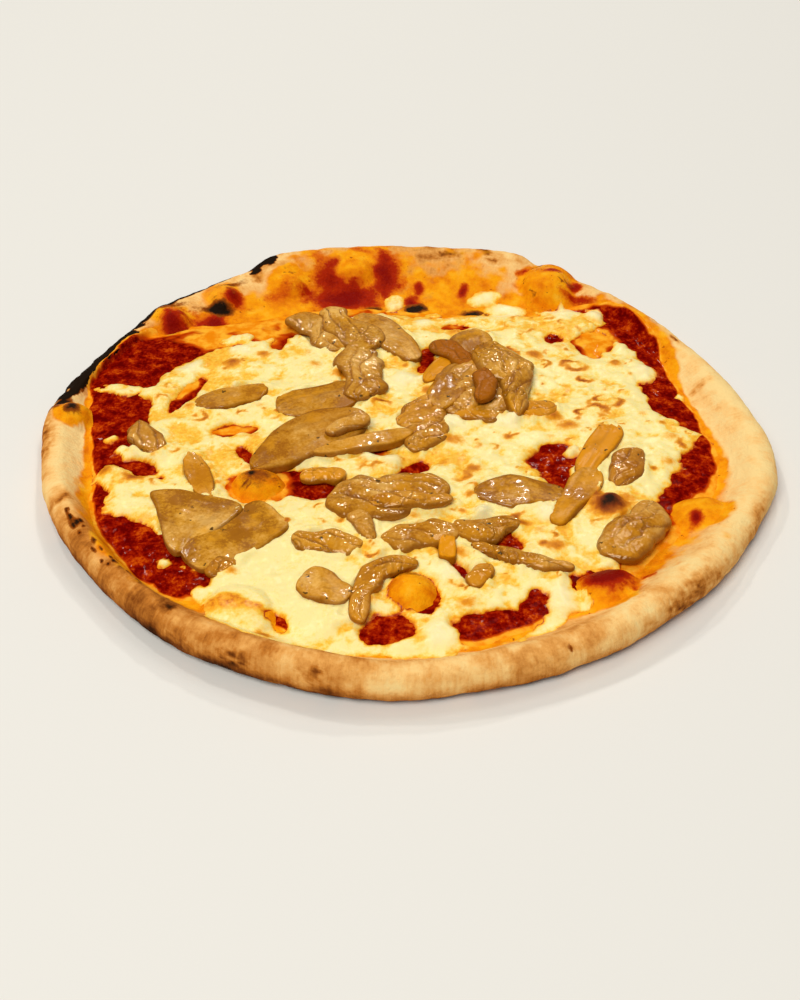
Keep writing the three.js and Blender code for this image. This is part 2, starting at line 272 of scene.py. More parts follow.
def closed_grid(points):
    """Points and faces of a closed surface: rows of points that each close on themselves, with
    a fan of triangles to a single point, the row's middle, at the first and the last row."""
    rows, columns = points.shape[:2]
    flat = np.concatenate([points.reshape(-1, 3), points[0].mean(0)[None], points[-1].mean(0)[None]])
    start = np.arange(columns)
    beside = (start + 1) % columns
    end = (rows - 1) * columns
    first_fan = np.stack([np.full(columns, rows * columns), start, beside], axis=-1)
    last_fan = np.stack([end + start, np.full(columns, rows * columns + 1), end + beside], axis=-1)
    faces = grid_faces(rows, columns).tolist() + first_fan.tolist() + last_fan.tolist()
    return flat, faces


def with_poles(values):
    """The values of a closed grid's points, with those of its two added middle points."""
    return np.concatenate([values.ravel(), [values[0].mean(), values[-1].mean()]])


def closed_piece(name, grid, values, material):
    """A closed mesh from rows of points, and a value per point for each attribute."""
    values = {key: with_poles(value) for key, value in values.items()}
    return piece_object(name, *closed_grid(grid), values, material)


def blunted(value, power):
    """A value from -1 to 1 raised to a power, with its sign kept."""
    return np.sign(value) * np.abs(value) ** power


DOUGH_COLUMNS = 620
DOUGH_FLOOR_ROWS = 54
DOUGH_SLOPE_ROWS = 54
DOUGH_LIP_ROWS = 38
DOUGH_UNDER_ROWS = 4
LIP_SECTION = 0.9
BLISTER_SOFTNESS = 0.5 * MM
# how far the wall is drawn in, so that its lumps reach no further than the rim's radius
WALL_INSET = 0.7 * MM
# stretches of the edge that burnt black: middle and half width in degrees, steepness, and how far
# in from the edge they are black, in millimetres
BURNT_DEEPEST = 12.0
BURNT_EDGES = [
    (160, 12.5, 8, BURNT_DEEPEST),
    (137, 13, 6, 5.5),
    (119, 3.5, 2, 11.0),
]


def burnt_depth(angle):
    """How far in the edge is burnt at an angle: the deepest of the burnt stretches there."""
    return np.maximum.reduce([row[3] * swell_share(row, angle) for row in BURNT_EDGES])


def dough_points():
    """The dough as rings of points. Rings spread over the floor to the foot, climb the slope to
    the crown, run down the wall as a rounded half oval, and close under the base. The slope
    carries the blisters; lumps push the slope up and the wall in, and burnt edges crumble."""
    angle = np.linspace(0, 2 * np.pi, DOUGH_COLUMNS, endpoint=False)[None, :]
    radius = rim_radius(angle)
    height = rim_height(angle)
    foot = radius - round_value(RIM_WIDTH, angle)
    floor_share = np.linspace(0.03, 1, DOUGH_FLOOR_ROWS, endpoint=False)[:, None]
    slope_share = np.linspace(0, 1, DOUGH_SLOPE_ROWS)[:, None]
    reach = np.concatenate([floor_share * foot, foot + slope_share * (radius - RIM_LIP - foot)])
    x = reach * np.cos(angle)
    y = reach * np.sin(angle)
    top = slope_top(x, y)
    for blister in BLISTERS:
        top = soft_max(top, blister_top(x, y, blister), BLISTER_SOFTNESS)
    turn = np.linspace(np.pi / 2, -np.pi / 2, DOUGH_LIP_ROWS + 1)[1:, None]
    out = blunted(np.cos(turn), LIP_SECTION)
    up = blunted(np.sin(turn), LIP_SECTION)
    lip_reach = radius - RIM_LIP + RIM_LIP * out
    lip_level = height / 2 * (1 + up)
    lip_top = top[-1:] + (lip_level - height)
    lip_level = np.where(up > 0, lip_level + (lip_top - lip_level) * up, lip_level)
    under_share = np.linspace(0.96, 0.03, DOUGH_UNDER_ROWS)[:, None]
    under_reach = under_share * (radius - RIM_LIP)
    reach = np.concatenate([reach, lip_reach, under_reach])
    level = np.concatenate([top, lip_level, np.zeros_like(under_reach)])
    points = np.stack([reach * np.cos(angle), reach * np.sin(angle), level], axis=-1)
    lumps = dough_lumps(points)
    crumbs = MM * burnt_depth(angle) / BURNT_DEEPEST * (1.6 * rough(points, 5 * MM, 4) - 0.4)
    rises = np.concatenate([np.ones(len(top)), up[:, 0], np.zeros(DOUGH_UNDER_ROWS)])[:, None]
    leans = np.concatenate([np.zeros(len(top)), out[:, 0], np.zeros(DOUGH_UNDER_ROWS)])[:, None]
    grown = lumps_share(points[..., 0], points[..., 1])
    push = (lumps - WALL_INSET + crumbs) * leans
    points[..., 0] += push * np.cos(angle)
    points[..., 1] += push * np.sin(angle)
    points[..., 2] = np.maximum(points[..., 2] + lumps * grown * rises, 0)
    return points, angle, foot


# share of brown on the crown of the rim, every 15 degrees
RIM_TOAST = np.array([
    0.12, 0.10, 0.14, 0.16, 0.14, 0.22, 0.34, 0.30, 0.24, 0.24, 0.34, 0.24,
    0.04, 0.02, 0.50, 0.60, 0.58, 0.42, 0.28, 0.28, 0.24, 0.18, 0.10, 0.08,
])
# how far oil has soaked up the slope of the rim, every 15 degrees
OIL_REACH = MM * np.array([
    3, 3, 14, 15, 28, 50, 56, 40, 27, 20, 4, 2,
    2, 6, 9, 8, 6, 2, 2, 3, 4, 8, 14, 5,
])
# tomato stains on bare dough: x, y, half length, half width in millimetres, heading and strength
DOUGH_STAINS = [
    (-27, 110, 19, 9, 5, 1.0),
    (-36, 121, 9, 11, 0, 0.85),
    (-8, 124, 7, 15, 5, 0.9),
    (-20, 139, 8, 3, -20, 0.6),
    (-60, 108, 9, 6, 40, 0.5),
    (-75, 81, 24, 3, 8, 0.55),
    (-103, 73, 18, 5, -15, 0.65),
    (-111, 82, 5, 9, 10, 1.0),
    (-91, 87, 7.5, 8, 10, 1.0),
    (-83, 103, 5, 4.5, 0, 0.9),
    (9, 117, 2.6, 3.6, 10, 0.85),
    (5, 107, 4.5, 3.2, -50, 0.95),
    (31, 113, 2.2, 4, -25, 0.85),
    (86, 110, 4.5, 3, 40, 0.9),
    (62, 124, 6, 2.4, 35, 0.7),
    (75, 118, 6, 2.4, 10, 0.7),
    (88, 103, 10, 2.4, -14, 0.7),
    (76, -99, 9.5, 7, 0, 1.15),
    (117, -64, 2.8, 3.6, 0, 1.0),
    (60, 82, 20, 2.4, -5, 0.9),
]
# brown and black scorches on the slope and rim, in the same order
DOUGH_SCORCHES = [
    (6.5, 101, 5, 3.4, 10, 1.0),
    (35, 95, 5.4, 4, 0, 1.0),
    (-14, 101, 4.5, 2.4, 0, 0.85),
    (-91, 96, 7, 2.4, 0, 1.0),
    (-69, 130, 3, 2.4, 0, 1.1),
    (-84, 113, 9, 2.2, 20, 0.5),
    (-114, 93, 8, 2.6, 35, 0.55),
    (-144, 7, 2.6, 2.6, 0, 0.8),
    (-151, 13, 6, 3, 50, 1.0),
    (-60, -39, 8, 6, 0, 0.52),
    (-62, -38, 2.6, 2.2, 0, 1.0),
    (59, -139, 1.8, 0.6, -65, 1.0),
    (69, 127, 5, 1.6, 25, 0.6),
    (3, -97, 7, 2.2, 0, 0.42),
]
# brown smudges on the rim, in the same order
RIM_SMUDGES = [
    (24, 138, 6.5, 5, 40, 0.8),
    (43, 140, 7, 2.5, -65, 0.8),
    (46, 131, 3, 2, 0, 0.8),
    (-137, -58, 4, 9, -60, 0.6),
    (-154, -9, 24, 4.5, 100, 0.6),
    (-79, -114, 3.5, 2.5, 0, 1.0),
    (-84, -119, 4, 2.5, 30, 0.9),
    (-98, -104, 12, 4, -30, 0.75),
    (-112, -106, 18, 4, -42, 0.7),
    (-82, -132, 22, 3.5, -32, 0.7),
    (-35, -139, 3, 2, 0, 0.8),
    (-14, -139, 2.5, 1.5, 0, 0.8),
    (129, 64, 3, 1.4, -60, 0.9),
    (134, 28, 6, 2, 30, 0.45),
    (-128, -84, 6, 3, -55, 0.75),
    (-60, -142, 9, 3, -22, 0.8),
    (-30, -151, 10, 2.5, -10, 0.6),
    (-72, 119, 3, 8, 10, 0.6),
    (106, -112, 36, 3.5, 46, 0.62),
    (141, -66, 20, 3, 64, 0.45),
]
# small burnt specks where the rim meets the oil at the front left, along a ring that drifts
# inwards past a turn, in degrees and millimetres
SPECK_COUNT = 26
SPECK_TURNS = (206, 231)
SPECK_RING = 147
SPECK_SPREAD = 1.2
SPECK_DRIFT = 24
SPECK_DRIFT_FROM = 215
SPECK_LENGTHS = (0.8, 2.0)
SPECK_HALF_WIDTH = 0.9
SPECK_STRENGTH = 0.85
speck_draw = np.random.default_rng(17)
speck_turn = np.radians(speck_draw.uniform(*SPECK_TURNS, SPECK_COUNT))
speck_inward = SPECK_DRIFT * np.clip(speck_turn - math.radians(SPECK_DRIFT_FROM), 0, None)
speck_reach = speck_draw.normal(SPECK_RING, SPECK_SPREAD, SPECK_COUNT) - speck_inward
speck_length = speck_draw.uniform(*SPECK_LENGTHS, SPECK_COUNT)
for reach, turn, length in zip(speck_reach, speck_turn, speck_length):
    place = (reach * math.cos(turn), reach * math.sin(turn))
    along_rim = math.degrees(turn) + 90
    DOUGH_SCORCHES.append((*place, length, SPECK_HALF_WIDTH, along_rim, SPECK_STRENGTH))


def blotches(x, y, spots):
    """Strength of a set of soft turned ellipses: the strength of each, halved at its edge and
    fading as 2^(-reach^2), with the reach made ragged by a random relief of two sizes."""
    plan = flat_points(x, y)
    ragged = 1 + 0.55 * rough(plan, 8 * MM, 31) + 0.3 * rough(plan, 3 * MM, 32)
    fields = [spot[5] * 0.5 ** (ellipse_reach(x, y, spot[:5]) * ragged) ** 2 for spot in spots]
    return np.maximum.reduce(fields)


def dough_values(points, angle, foot):
    """Masks of the dough's colours. Toasting grows with RIM_TOAST, in lumps and in smudges, and
    down the wall to its foot, where it also stands for painted shade; oil fades from the foot up the
    slope and covers blisters; stains and scorches are ragged ellipses; char covers burnt edges and
    the tops of scorched blisters."""
    x, y, z = np.moveaxis(points, -1, 0)
    reach = np.hypot(x, y)
    rim = rim_radius(angle)
    tall = rim_height(angle)
    coarse = rough(points, 16 * MM, 11)
    fine = rough(points, 5 * MM, 12)
    outer = smooth_step(-4 * MM, 0.5 * MM, reach - rim + WALL_INSET)
    # the lower wall and its foot darken through the toasting mask: partly real browning, partly painted
    # shade, with a painted contact shade at the foot
    wall = outer * smooth_step(0.75, 0.12, z / tall)
    foot_browning_and_shade = smooth_step(0.26, 0.04, z / tall) * smooth_step(-9 * MM, -5 * MM, reach - rim)
    toast = round_value(RIM_TOAST, angle) + 0.40 * wall + 0.6 * foot_browning_and_shade + 0.3 * coarse + 0.24 * fine
    speck = rough(points, 2.0 * MM, 13)
    toast = np.maximum(toast, blotches(x, y, RIM_SMUDGES) * (0.95 + 0.7 * speck))
    soak = (reach - foot) / round_value(OIL_REACH, angle)
    oil = 1 - smooth_step(0.2, 1.2, soak + 0.8 * coarse + 0.5 * fine)
    stain = blotches(x, y, DOUGH_STAINS)
    char = blotches(x, y, DOUGH_SCORCHES)
    for blister in BLISTERS:
        away = np.hypot(x - MM * blister[0], y - MM * blister[1]) / (MM * blister[2])
        inside = 1 - smooth_step(0.8, 1.2, away + 0.3 * fine)
        oil = np.maximum(oil, blister[4] * inside)
        clear = 1 - smooth_step(0.25, 0.8, away + 0.6 * coarse + 0.4 * fine)
        stain *= 1 - 0.8 * blister[6] * clear
        char = np.maximum(char, inside * blister[5] * smooth_step(0.0, 0.4, speck + fine - 0.3 * away))
    depth = burnt_depth(angle + 0.1 * coarse + 0.06 * fine)
    edge = smooth_step(-1.5, 1.5, (reach - rim) / MM + depth + 1.2 * coarse + 1.5 * fine)
    browner = 0.75 * smooth_step(0.6, 0.15, z / tall + 0.4 * coarse)
    char = np.maximum(char, 1.3 * edge * smooth_step(0, 5, depth) * (1 - browner))
    above = smooth_step(1 * MM, 3 * MM, z)
    return {"toast": np.clip(toast, 0, 1), "oil": oil * above, "stain": stain * above, "char": char}


def set_inputs(tree, node, inputs):
    """Set each of these inputs of a node to its value, or join it to its socket."""
    for key, value in inputs.items():
        if isinstance(value, bpy.types.NodeSocket):
            tree.links.new(value, node.inputs[key])
        else:
            node.inputs[key].default_value = value


def make_node(tree, kind, inputs=None, **settings):
    """A shader node with its settings and its inputs."""
    node = tree.nodes.new(kind)
    for key, value in settings.items():
        setattr(node, key, value)
    set_inputs(tree, node, inputs or {})
    return node


def attribute_value(tree, name):
    """The socket of a value that the mesh carries at each point."""
    return make_node(tree, "ShaderNodeAttribute", attribute_name=name).outputs["Fac"]


def mixed(tree, share, under, over):
    """One colour laid over another by a share from nought to one."""
    node = make_node(tree, "ShaderNodeMix", {0: share, 6: under, 7: over}, data_type="RGBA")
    return node.outputs[2]


def share_between(tree, value, low, high):
    """Nought where a value is at low, one where it is at high, and a smooth S between."""
    inputs = {"Value": value, "From Min": low, "From Max": high}
    node = make_node(tree, "ShaderNodeMapRange", inputs, interpolation_type="SMOOTHSTEP")
    return node.outputs["Result"]


def colour_ramp(tree, value, stops):
    """Colour along a scale of (place, colour) stops, read at a value."""
    node = make_node(tree, "ShaderNodeValToRGB", {"Fac": value})
    scale = node.color_ramp.elements
    while len(scale) < len(stops):
        scale.new(0.5)
    for element, (place, colour) in zip(scale, stops):
        element.position = place
        element.color = colour
    return node.outputs["Color"]


def math_value(tree, operation, first, second, third=0.0):
    """One sum of two or three values or sockets."""
    inputs = {0: first, 1: second, 2: third}
    return make_node(tree, "ShaderNodeMath", inputs, operation=operation).outputs[0]


def sum_of(tree, first, *others):
    """The sum of any number of values or sockets."""
    for other in others:
        first = math_value(tree, "ADD", first, other)
    return first


def centred(tree, noise, strength):
    """A noise about 0.5 turned into one about nought, this strong from trough to crest."""
    return math_value(tree, "MULTIPLY_ADD", noise, strength, -strength / 2)


def vector_value(tree, operation, first, second=(0, 0, 0)):
    """One sum of two vectors."""
    node = make_node(tree, "ShaderNodeVectorMath", {0: first, 1: second}, operation=operation)
    return node.outputs["Vector"]


def new_group(name, inputs, outputs):
    """An empty shader node group with named number sockets, its entry and its exit."""
    group = bpy.data.node_groups.new(name, "ShaderNodeTree")
    for key, default in inputs.items():
        socket = group.interface.new_socket(key, in_out="INPUT", socket_type="NodeSocketFloat")
        socket.default_value = default
    for key in outputs:
        group.interface.new_socket(key, in_out="OUTPUT", socket_type="NodeSocketFloat")
    return group, group.nodes.new("NodeGroupInput"), group.nodes.new("NodeGroupOutput")


def mottle_group():
    """Node group: soft blotches and fine grain on Object coordinates, each a value about 0.5."""
    scales = {"Blotches per metre": 120.0, "Grain per metre": 700.0}
    group, entry, leave = new_group("mottle", scales, ("Blotch", "Grain"))
    place = make_node(group, "ShaderNodeTexCoord").outputs["Object"]
    for output, scale in zip(("Blotch", "Grain"), scales):
        inputs = {"Vector": place, "Scale": entry.outputs[scale], "Detail": 5.0, "Roughness": 0.62}
        noise = make_node(group, "ShaderNodeTexNoise", inputs)
        group.links.new(noise.outputs["Fac"], leave.inputs[output])
    return group


def fleck_group():
    """Node group: small scattered flecks, a mask that is one near some of the points of a
    random lattice whose outlines are bent by noise."""
    defaults = {"Flecks per metre": 250.0, "Size": 0.15, "Share": 0.5}
    group, entry, leave = new_group("flecks", defaults, ("Mask",))
    place = make_node(group, "ShaderNodeTexCoord").outputs["Object"]
    noise = make_node(group, "ShaderNodeTexNoise", {"Vector": place, "Scale": 900.0, "Detail": 2.0})
    bend = vector_value(group, "MULTIPLY", noise.outputs["Color"], (0.003, 0.003, 0.003))
    bent = vector_value(group, "ADD", place, bend)
    cells = make_node(group, "ShaderNodeTexVoronoi", {"Vector": bent, "Scale": entry.outputs[0]})
    near = math_value(group, "LESS_THAN", cells.outputs["Distance"], entry.outputs["Size"])
    draw = make_node(group, "ShaderNodeSeparateColor", {0: cells.outputs["Color"]}).outputs[0]
    chosen = math_value(group, "LESS_THAN", draw, entry.outputs["Share"])
    group.links.new(math_value(group, "MULTIPLY", near, chosen), leave.inputs["Mask"])
    return group


MOTTLE = mottle_group()
FLECKS = fleck_group()


def placed_group(tree, group, values):
    """A node group placed in a material with its own values; gives its output sockets in order."""
    node = make_node(tree, "ShaderNodeGroup", node_tree=group)
    for socket, value in zip(node.inputs, values):
        socket.default_value = value
    return list(node.outputs)


def new_material(name):
    """An empty node material and its shader."""
    material = bpy.data.materials.new(name)
    material.use_nodes = True
    return material, material.node_tree, material.node_tree.nodes["Principled BSDF"]


def bump_normal(tree, height, distance, strength):
    """A normal tilted by a height that is this far from trough to crest."""
    inputs = {"Height": height, "Distance": distance, "Strength": strength}
    return make_node(tree, "ShaderNodeBump", inputs).outputs["Normal"]


def fibre_value(tree, scale):
    """Streaks that run from the middle outwards and down the wall: noise on a vector of the
    direction from the middle and, much slower, the distance from it."""
    place = make_node(tree, "ShaderNodeTexCoord").outputs["Object"]
    unit = vector_value(tree, "NORMALIZE", vector_value(tree, "MULTIPLY", place, (1, 1, 0)))
    arc = vector_value(tree, "MULTIPLY", unit, (0.15, 0.15, 0))
    far = make_node(tree, "ShaderNodeVectorMath", {0: place}, operation="LENGTH").outputs["Value"]
    slow = make_node(tree, "ShaderNodeCombineXYZ", {"Z": math_value(tree, "MULTIPLY", far, 0.3)})
    vector = vector_value(tree, "ADD", arc, slow.outputs["Vector"])
    inputs = {"Vector": vector, "Scale": scale, "Detail": 4.0, "Roughness": 0.6}
    return make_node(tree, "ShaderNodeTexNoise", inputs).outputs["Fac"]


def dough_material():
    """Dry baked dough: a scale from floury cream to dark toasted brown, which down the outer wall is partly
    painted shade, with oil, tomato and char over it.
    """
    material, tree, shader = new_material("baked_dough")
    blotch, grain = placed_group(tree, MOTTLE, (110.0, 800.0))
    fibre = fibre_value(tree, 700.0)
    varied = [centred(tree, blotch, 0.5), centred(tree, grain, 0.24), centred(tree, fibre, 0.3)]
    # the toasting mask carries painted shade down the outer wall as well as real browning
    crust = colour_ramp(tree, sum_of(tree, attribute_value(tree, "toast"), *varied), [
        (0.0, (1.0, 0.72, 0.30, 1)),
        (0.18, (1.0, 0.61, 0.215, 1)),
        (0.38, (0.85, 0.40, 0.098, 1)),
        (0.58, (0.58, 0.20, 0.028, 1)),
        (0.78, (0.24, 0.062, 0.007, 1)),
        (1.0, (0.05, 0.013, 0.002, 1)),
    ])
    oiled = colour_ramp(tree, blotch, [
        (0.32, (0.74, 0.17, 0.001, 1)),
        (0.46, (0.92, 0.29, 0.002, 1)),
        (0.58, (1.0, 0.40, 0.004, 1)),
        (0.72, (1.0, 0.50, 0.025, 1)),
    ])
    oil = attribute_value(tree, "oil")
    crust = mixed(tree, share_between(tree, oil, 0.1, 0.8), crust, oiled)
    specks = placed_group(tree, FLECKS, (240.0, 0.13, 0.35))[0]
    crust = mixed(tree, math_value(tree, "MULTIPLY", specks, oil), crust, (0.42, 0.075, 0.002, 1))
    patchy = sum_of(tree, centred(tree, blotch, 0.5), centred(tree, grain, 0.4))
    stain = sum_of(tree, attribute_value(tree, "stain"), patchy)
    char = sum_of(tree, attribute_value(tree, "char"), patchy)
    layers = [
        (stain, 0.2, 0.5, (0.72, 0.13, 0.002, 1)),
        (stain, 0.42, 0.66, (0.42, 0.018, 0.0004, 1)),
        (stain, 0.65, 0.95, (0.24, 0.003, 0.0003, 1)),
        (char, 0.2, 0.5, (0.30, 0.065, 0.003, 1)),
        (char, 0.45, 0.8, (0.014, 0.007, 0.003, 1)),
    ]
    for value, low, high, colour in layers:
        crust = mixed(tree, share_between(tree, value, low, high), crust, colour)
    coarse = math_value(tree, "MULTIPLY_ADD", fibre, 0.4, grain)
    set_inputs(tree, shader, {
        "Base Color": crust,
        "Roughness": math_value(tree, "MULTIPLY_ADD", oil, -0.4, 0.78),
        "Specular IOR Level": 0.025,
        "Normal": bump_normal(tree, coarse, 0.0009, 0.6),
    })
    return material


dough_grid, dough_angle, dough_foot = dough_points()
dough_masks = dough_values(dough_grid, dough_angle, dough_foot)
crust = closed_piece("crust_baked", dough_grid, dough_masks, dough_material())
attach(crust, "root")
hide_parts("crust")


# Tomato sauce
# Crushed cooked tomato, ladled on the raw dough and spread to the foot of the rim. It shows
# where the cheese has drawn back, as dark wet pools with pulp in them, and thins to orange oil.
SAUCE_DEPTH = 1.6 * MM
# how slowly it thins to its edge, how far it runs on inside the dough past that, how deep it dives
# there, and how deep its underside lies
SAUCE_FADE = 5 * MM
SAUCE_MARGIN = 3 * MM
SAUCE_DIVE = 1.5 * MM
SAUCE_ROOT = 3 * MM
SAUCE_ROWS = 150
SAUCE_COLUMNS = 460
# how far the sauce runs past the foot of the rim, every 15 degrees
SAUCE_CLIMB = MM * np.array([
    0, 1, 7, 8, -1, -3, -3, -3, -2, 0, 3, 1,
    0, 0, 3, 3, -2, -1, -1, -1, -1, 0, 0, 0,
])
# how far in from its edge the sauce is thinned to oil, every 15 degrees
SAUCE_OILY = MM * np.array([
    2, 2, 2, 3, 12, 14, 14, 14, 30, 36, 5, 2,
    2, 2, 3, 3, 2, 2, 2, 3, 4, 8, 8, 4,
])
# patches of thin oily sauce: x, y, half length, half width in millimetres, and heading
OILY_PATCHES = [
    (92, 69, 13, 9, 80),
    (-74, -2, 9, 4, 10),
    (-60, -41, 14, 12, 0),
    (92, -86, 20, 5, 45),
    (84, -53, 11, 10, 0),
    (-98, 30, 10, 4, 60),
    (-92, 71, 17, 9, -10),
    (8, -12, 30, 4, 30),
]


def sauce_edge(angle):
    """Radius where the sauce ends: the foot of the rim plus the climb."""
    return rim_radius(angle) - round_value(RIM_WIDTH, angle) + round_value(SAUCE_CLIMB, angle)


def sauce_level(x, y):
    """Smooth top of the sauce, and how far inside its edge a point is: its depth on the dough
    thins to nothing at a wavering edge and dives into the dough past it."""
    waver = 2.4 * MM * rough(flat_points(x, y), 11 * MM, 21)
    inside = sauce_edge(np.arctan2(y, x)) - np.hypot(x, y) + waver
    depth = np.where(inside > 0, SAUCE_DEPTH * (1 - np.exp(-inside / SAUCE_FADE)), 0.7 * inside)
    return dough_top(x, y) + np.maximum(depth, -SAUCE_DIVE), inside


def sauce_points():
    """The sauce as rings from its middle out past its edge, then an underside inside the dough.
    Pulp of two sizes roughens the top. Also gives how thin and oily each point is."""
    angle = np.linspace(0, 2 * np.pi, SAUCE_COLUMNS, endpoint=False)[None, :]
    share = np.sqrt(np.linspace(0.0005, 1, SAUCE_ROWS))[:, None]
    reach = share * (sauce_edge(angle) + SAUCE_MARGIN)
    x = reach * np.cos(angle)
    y = reach * np.sin(angle)
    plan = flat_points(x, y)
    level, inside = sauce_level(x, y)
    pulp = 0.5 * rough(plan, 8 * MM, 23) + 0.26 * uneven(plan, 3 * MM, 24)
    top = np.stack([x, y, level + MM * pulp * smooth_step(0, 3 * MM, inside)], axis=-1)
    under_share = np.array([1.0, 0.96, 0.92, 0.88, 0.84, 0.5, 0.03])[:, None]
    under_x = under_share * x[-1]
    under_y = under_share * y[-1]
    under = np.stack([under_x, under_y, dough_top(under_x, under_y) - SAUCE_ROOT], axis=-1)
    oily = np.maximum(round_value(SAUCE_OILY, angle), 1.5 * MM)
    depth = inside / oily + 0.7 * rough(plan, 9 * MM, 25)
    thin = 1 - smooth_step(0.3, 1.1, depth)
    thin = np.maximum(thin, 0.95 * spots_mask(x, y, OILY_PATCHES, 0.35))
    return np.concatenate([top, under]), np.concatenate([thin, np.ones(under_x.shape)])


def ripple_group():
    """Node group: the fine uneven skin of a wet surface, as a height for a Bump node."""
    group, entry, leave = new_group("wet_ripple", {"Ripples per metre": 400.0}, ("Height",))
    place = make_node(group, "ShaderNodeTexCoord").outputs["Object"]
    inputs = {"Vector": place, "Scale": entry.outputs[0], "Detail": 1.0, "Roughness": 0.5}
    noise = make_node(group, "ShaderNodeTexNoise", inputs)
    group.links.new(noise.outputs["Fac"], leave.inputs["Height"])
    return group


RIPPLE = ripple_group()


def sauce_material():
    """Wet cooked tomato: dark red where deep, orange where thin and oily, with small glints."""
    material, tree, shader = new_material("cooked_tomato")
    blotch, grain = placed_group(tree, MOTTLE, (170.0, 700.0))
    deep = colour_ramp(tree, sum_of(tree, blotch, centred(tree, grain, 0.6)), [
        (0.37, (0.12, 0.0003, 0.0001, 1)),
        (0.48, (0.22, 0.0030, 0.0001, 1)),
        (0.58, (0.36, 0.0140, 0.0004, 1)),
        (0.70, (0.58, 0.0750, 0.0020, 1)),
    ])
    thin = sum_of(tree, attribute_value(tree, "thin"), centred(tree, blotch, 0.3))
    paler = share_between(tree, blotch, 0.4, 0.65)
    oil = mixed(tree, paler, (0.88, 0.25, 0.003, 1), (1.0, 0.46, 0.03, 1))
    oily = mixed(tree, share_between(tree, thin, 0.5, 0.95), (0.56, 0.055, 0.001, 1), oil)
    ripple = placed_group(tree, RIPPLE, (420.0,))[0]
    set_inputs(tree, shader, {
        "Base Color": mixed(tree, share_between(tree, thin, 0.1, 0.55), deep, oily),
        "Roughness": 0.4,
        "Specular IOR Level": 0.0,
        "Coat Weight": 0.03,
        "Coat Roughness": 0.08,
        "Normal": bump_normal(tree, ripple, 0.0006, 0.4),
    })
    return material


sauce_grid, sauce_thin = sauce_points()
sauce = closed_piece("sauce_spread", sauce_grid, {"thin": sauce_thin}, sauce_material())
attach(sauce, "root")
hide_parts("tomato_sauce")


# Mozzarella
# Torn mozzarella that melted and ran together into one sheet. It has drawn back from pools
# of sauce, is thin and orange with oil at its edges, and is dotted with small browned blisters.
# outer radius of the sheet every 15 degrees
CHEESE_RADIUS = MM * np.array([
    132, 128, 131, 132, 113, 97, 94, 95, 91, 98, 112, 116,
    111, 134, 132, 118, 140, 139, 136, 134, 133, 120, 112, 121,
])
CHEESE_DEPTH = 2.1 * MM
# how far it runs on past its outline, how deep it dives there, how far mushrooms press it down,
# the least that it is thick, and the highest that its underside lies
CHEESE_MARGIN = 2.4 * MM
CHEESE_DIVE = 1.6 * MM
CHEESE_PRESSED = 1.6 * MM
CHEESE_LEAST = 0.6 * MM
CHEESE_UNDERSIDE = 5.0 * MM
CHEESE_CELL = 1.0 * MM
CHEESE_HALF = 146 * MM
# pools of bare sauce: x, y, half length, half width in millimetres, and heading
POOLS = [
    (-126, 5, 20, 13, -70),
    (-103, -79, 32, 11, -36),
    (-41, -39, 22, 8, -12),
    (65, -23, 12, 10, 75),
    (66, -36, 10, 5, 80),
    (107, 82, 26, 12, -62),
    (120, 56, 15, 9, -75),
    (117, 29, 9, 8, 0),
    (126, 11, 19, 8.5, -48),
    (128, -25, 11, 8, 30),
    (121, -38, 12, 9, 60),
    (110, -54, 16, 7, 62),
    (33, -121, 15, 8.5, 6),
    (50, -111, 11, 6, 76),
    (-4, -122, 10, 8, 0),
    (-57, 67, 8, 5, 80),
    (-96, 26, 13, 3.5, 66),
    (42, -77, 7, 5, 65),
    (-112, -27, 13, 4.5, -25),
    (-126, -45, 7, 3, -65),
    (-75, -3, 9, 4, 10),
    (-66, -20, 9, 2.5, -50),
    (12, 50, 9, 3, 80),
    (28, 81, 12, 2.2, 0),
    (4, -31, 11, 3, 40),
    (-12, -16, 5, 3, 0),
    (-45, -119, 5, 3, -40),
    (92, 69, 12, 8, 80),
    (71, 71, 3.5, 3.5, 0),
    (4, -104, 10, 9.5, 0),
    (-60, -41, 12, 10, 0),
    (79, -102, 14, 11, 0),
    (117, -57, 13, 10, 70),
    (70, 108, 18, 14, 30),
    (24, -94, 9, 2, -60),
]
# clumps that lie apart from the sheet: x, y, half length, half width in millimetres, and heading
CHEESE_CLUMPS = [
    (112, 40, 8, 8, 0),
    (127, -12, 8, 4, 10),
    (41, 108, 7, 4, 10),
    (-3, 105, 5, 9, 0),
    (18, 95, 8, 4, 10),
    (52, 97, 10, 6, -15),
    (76, 95, 10, 5, 5),
    (-92, -89, 3.6, 3.2, 0),
    (-79, -92, 5.5, 2.4, -30),
    (-127, 29, 12, 4.5, -8),
    (-113, 26, 7, 4.5, 0),
    (-117, -18, 6, 4.5, -40),
    (-125, -8, 4, 4, 0),
    (-50, -24, 7, 6, 0),
    (74, -17, 4, 4.5, 0),
    (33, -56, 4, 4, 0),
    (58, -57, 5, 4.5, 0),
    (14, -127, 7, 8, 0),
    (95, 90, 5, 8, 0),
    (-78, 70, 9, 4, 20),
]
TOPPING_REST = 8.2 * MM
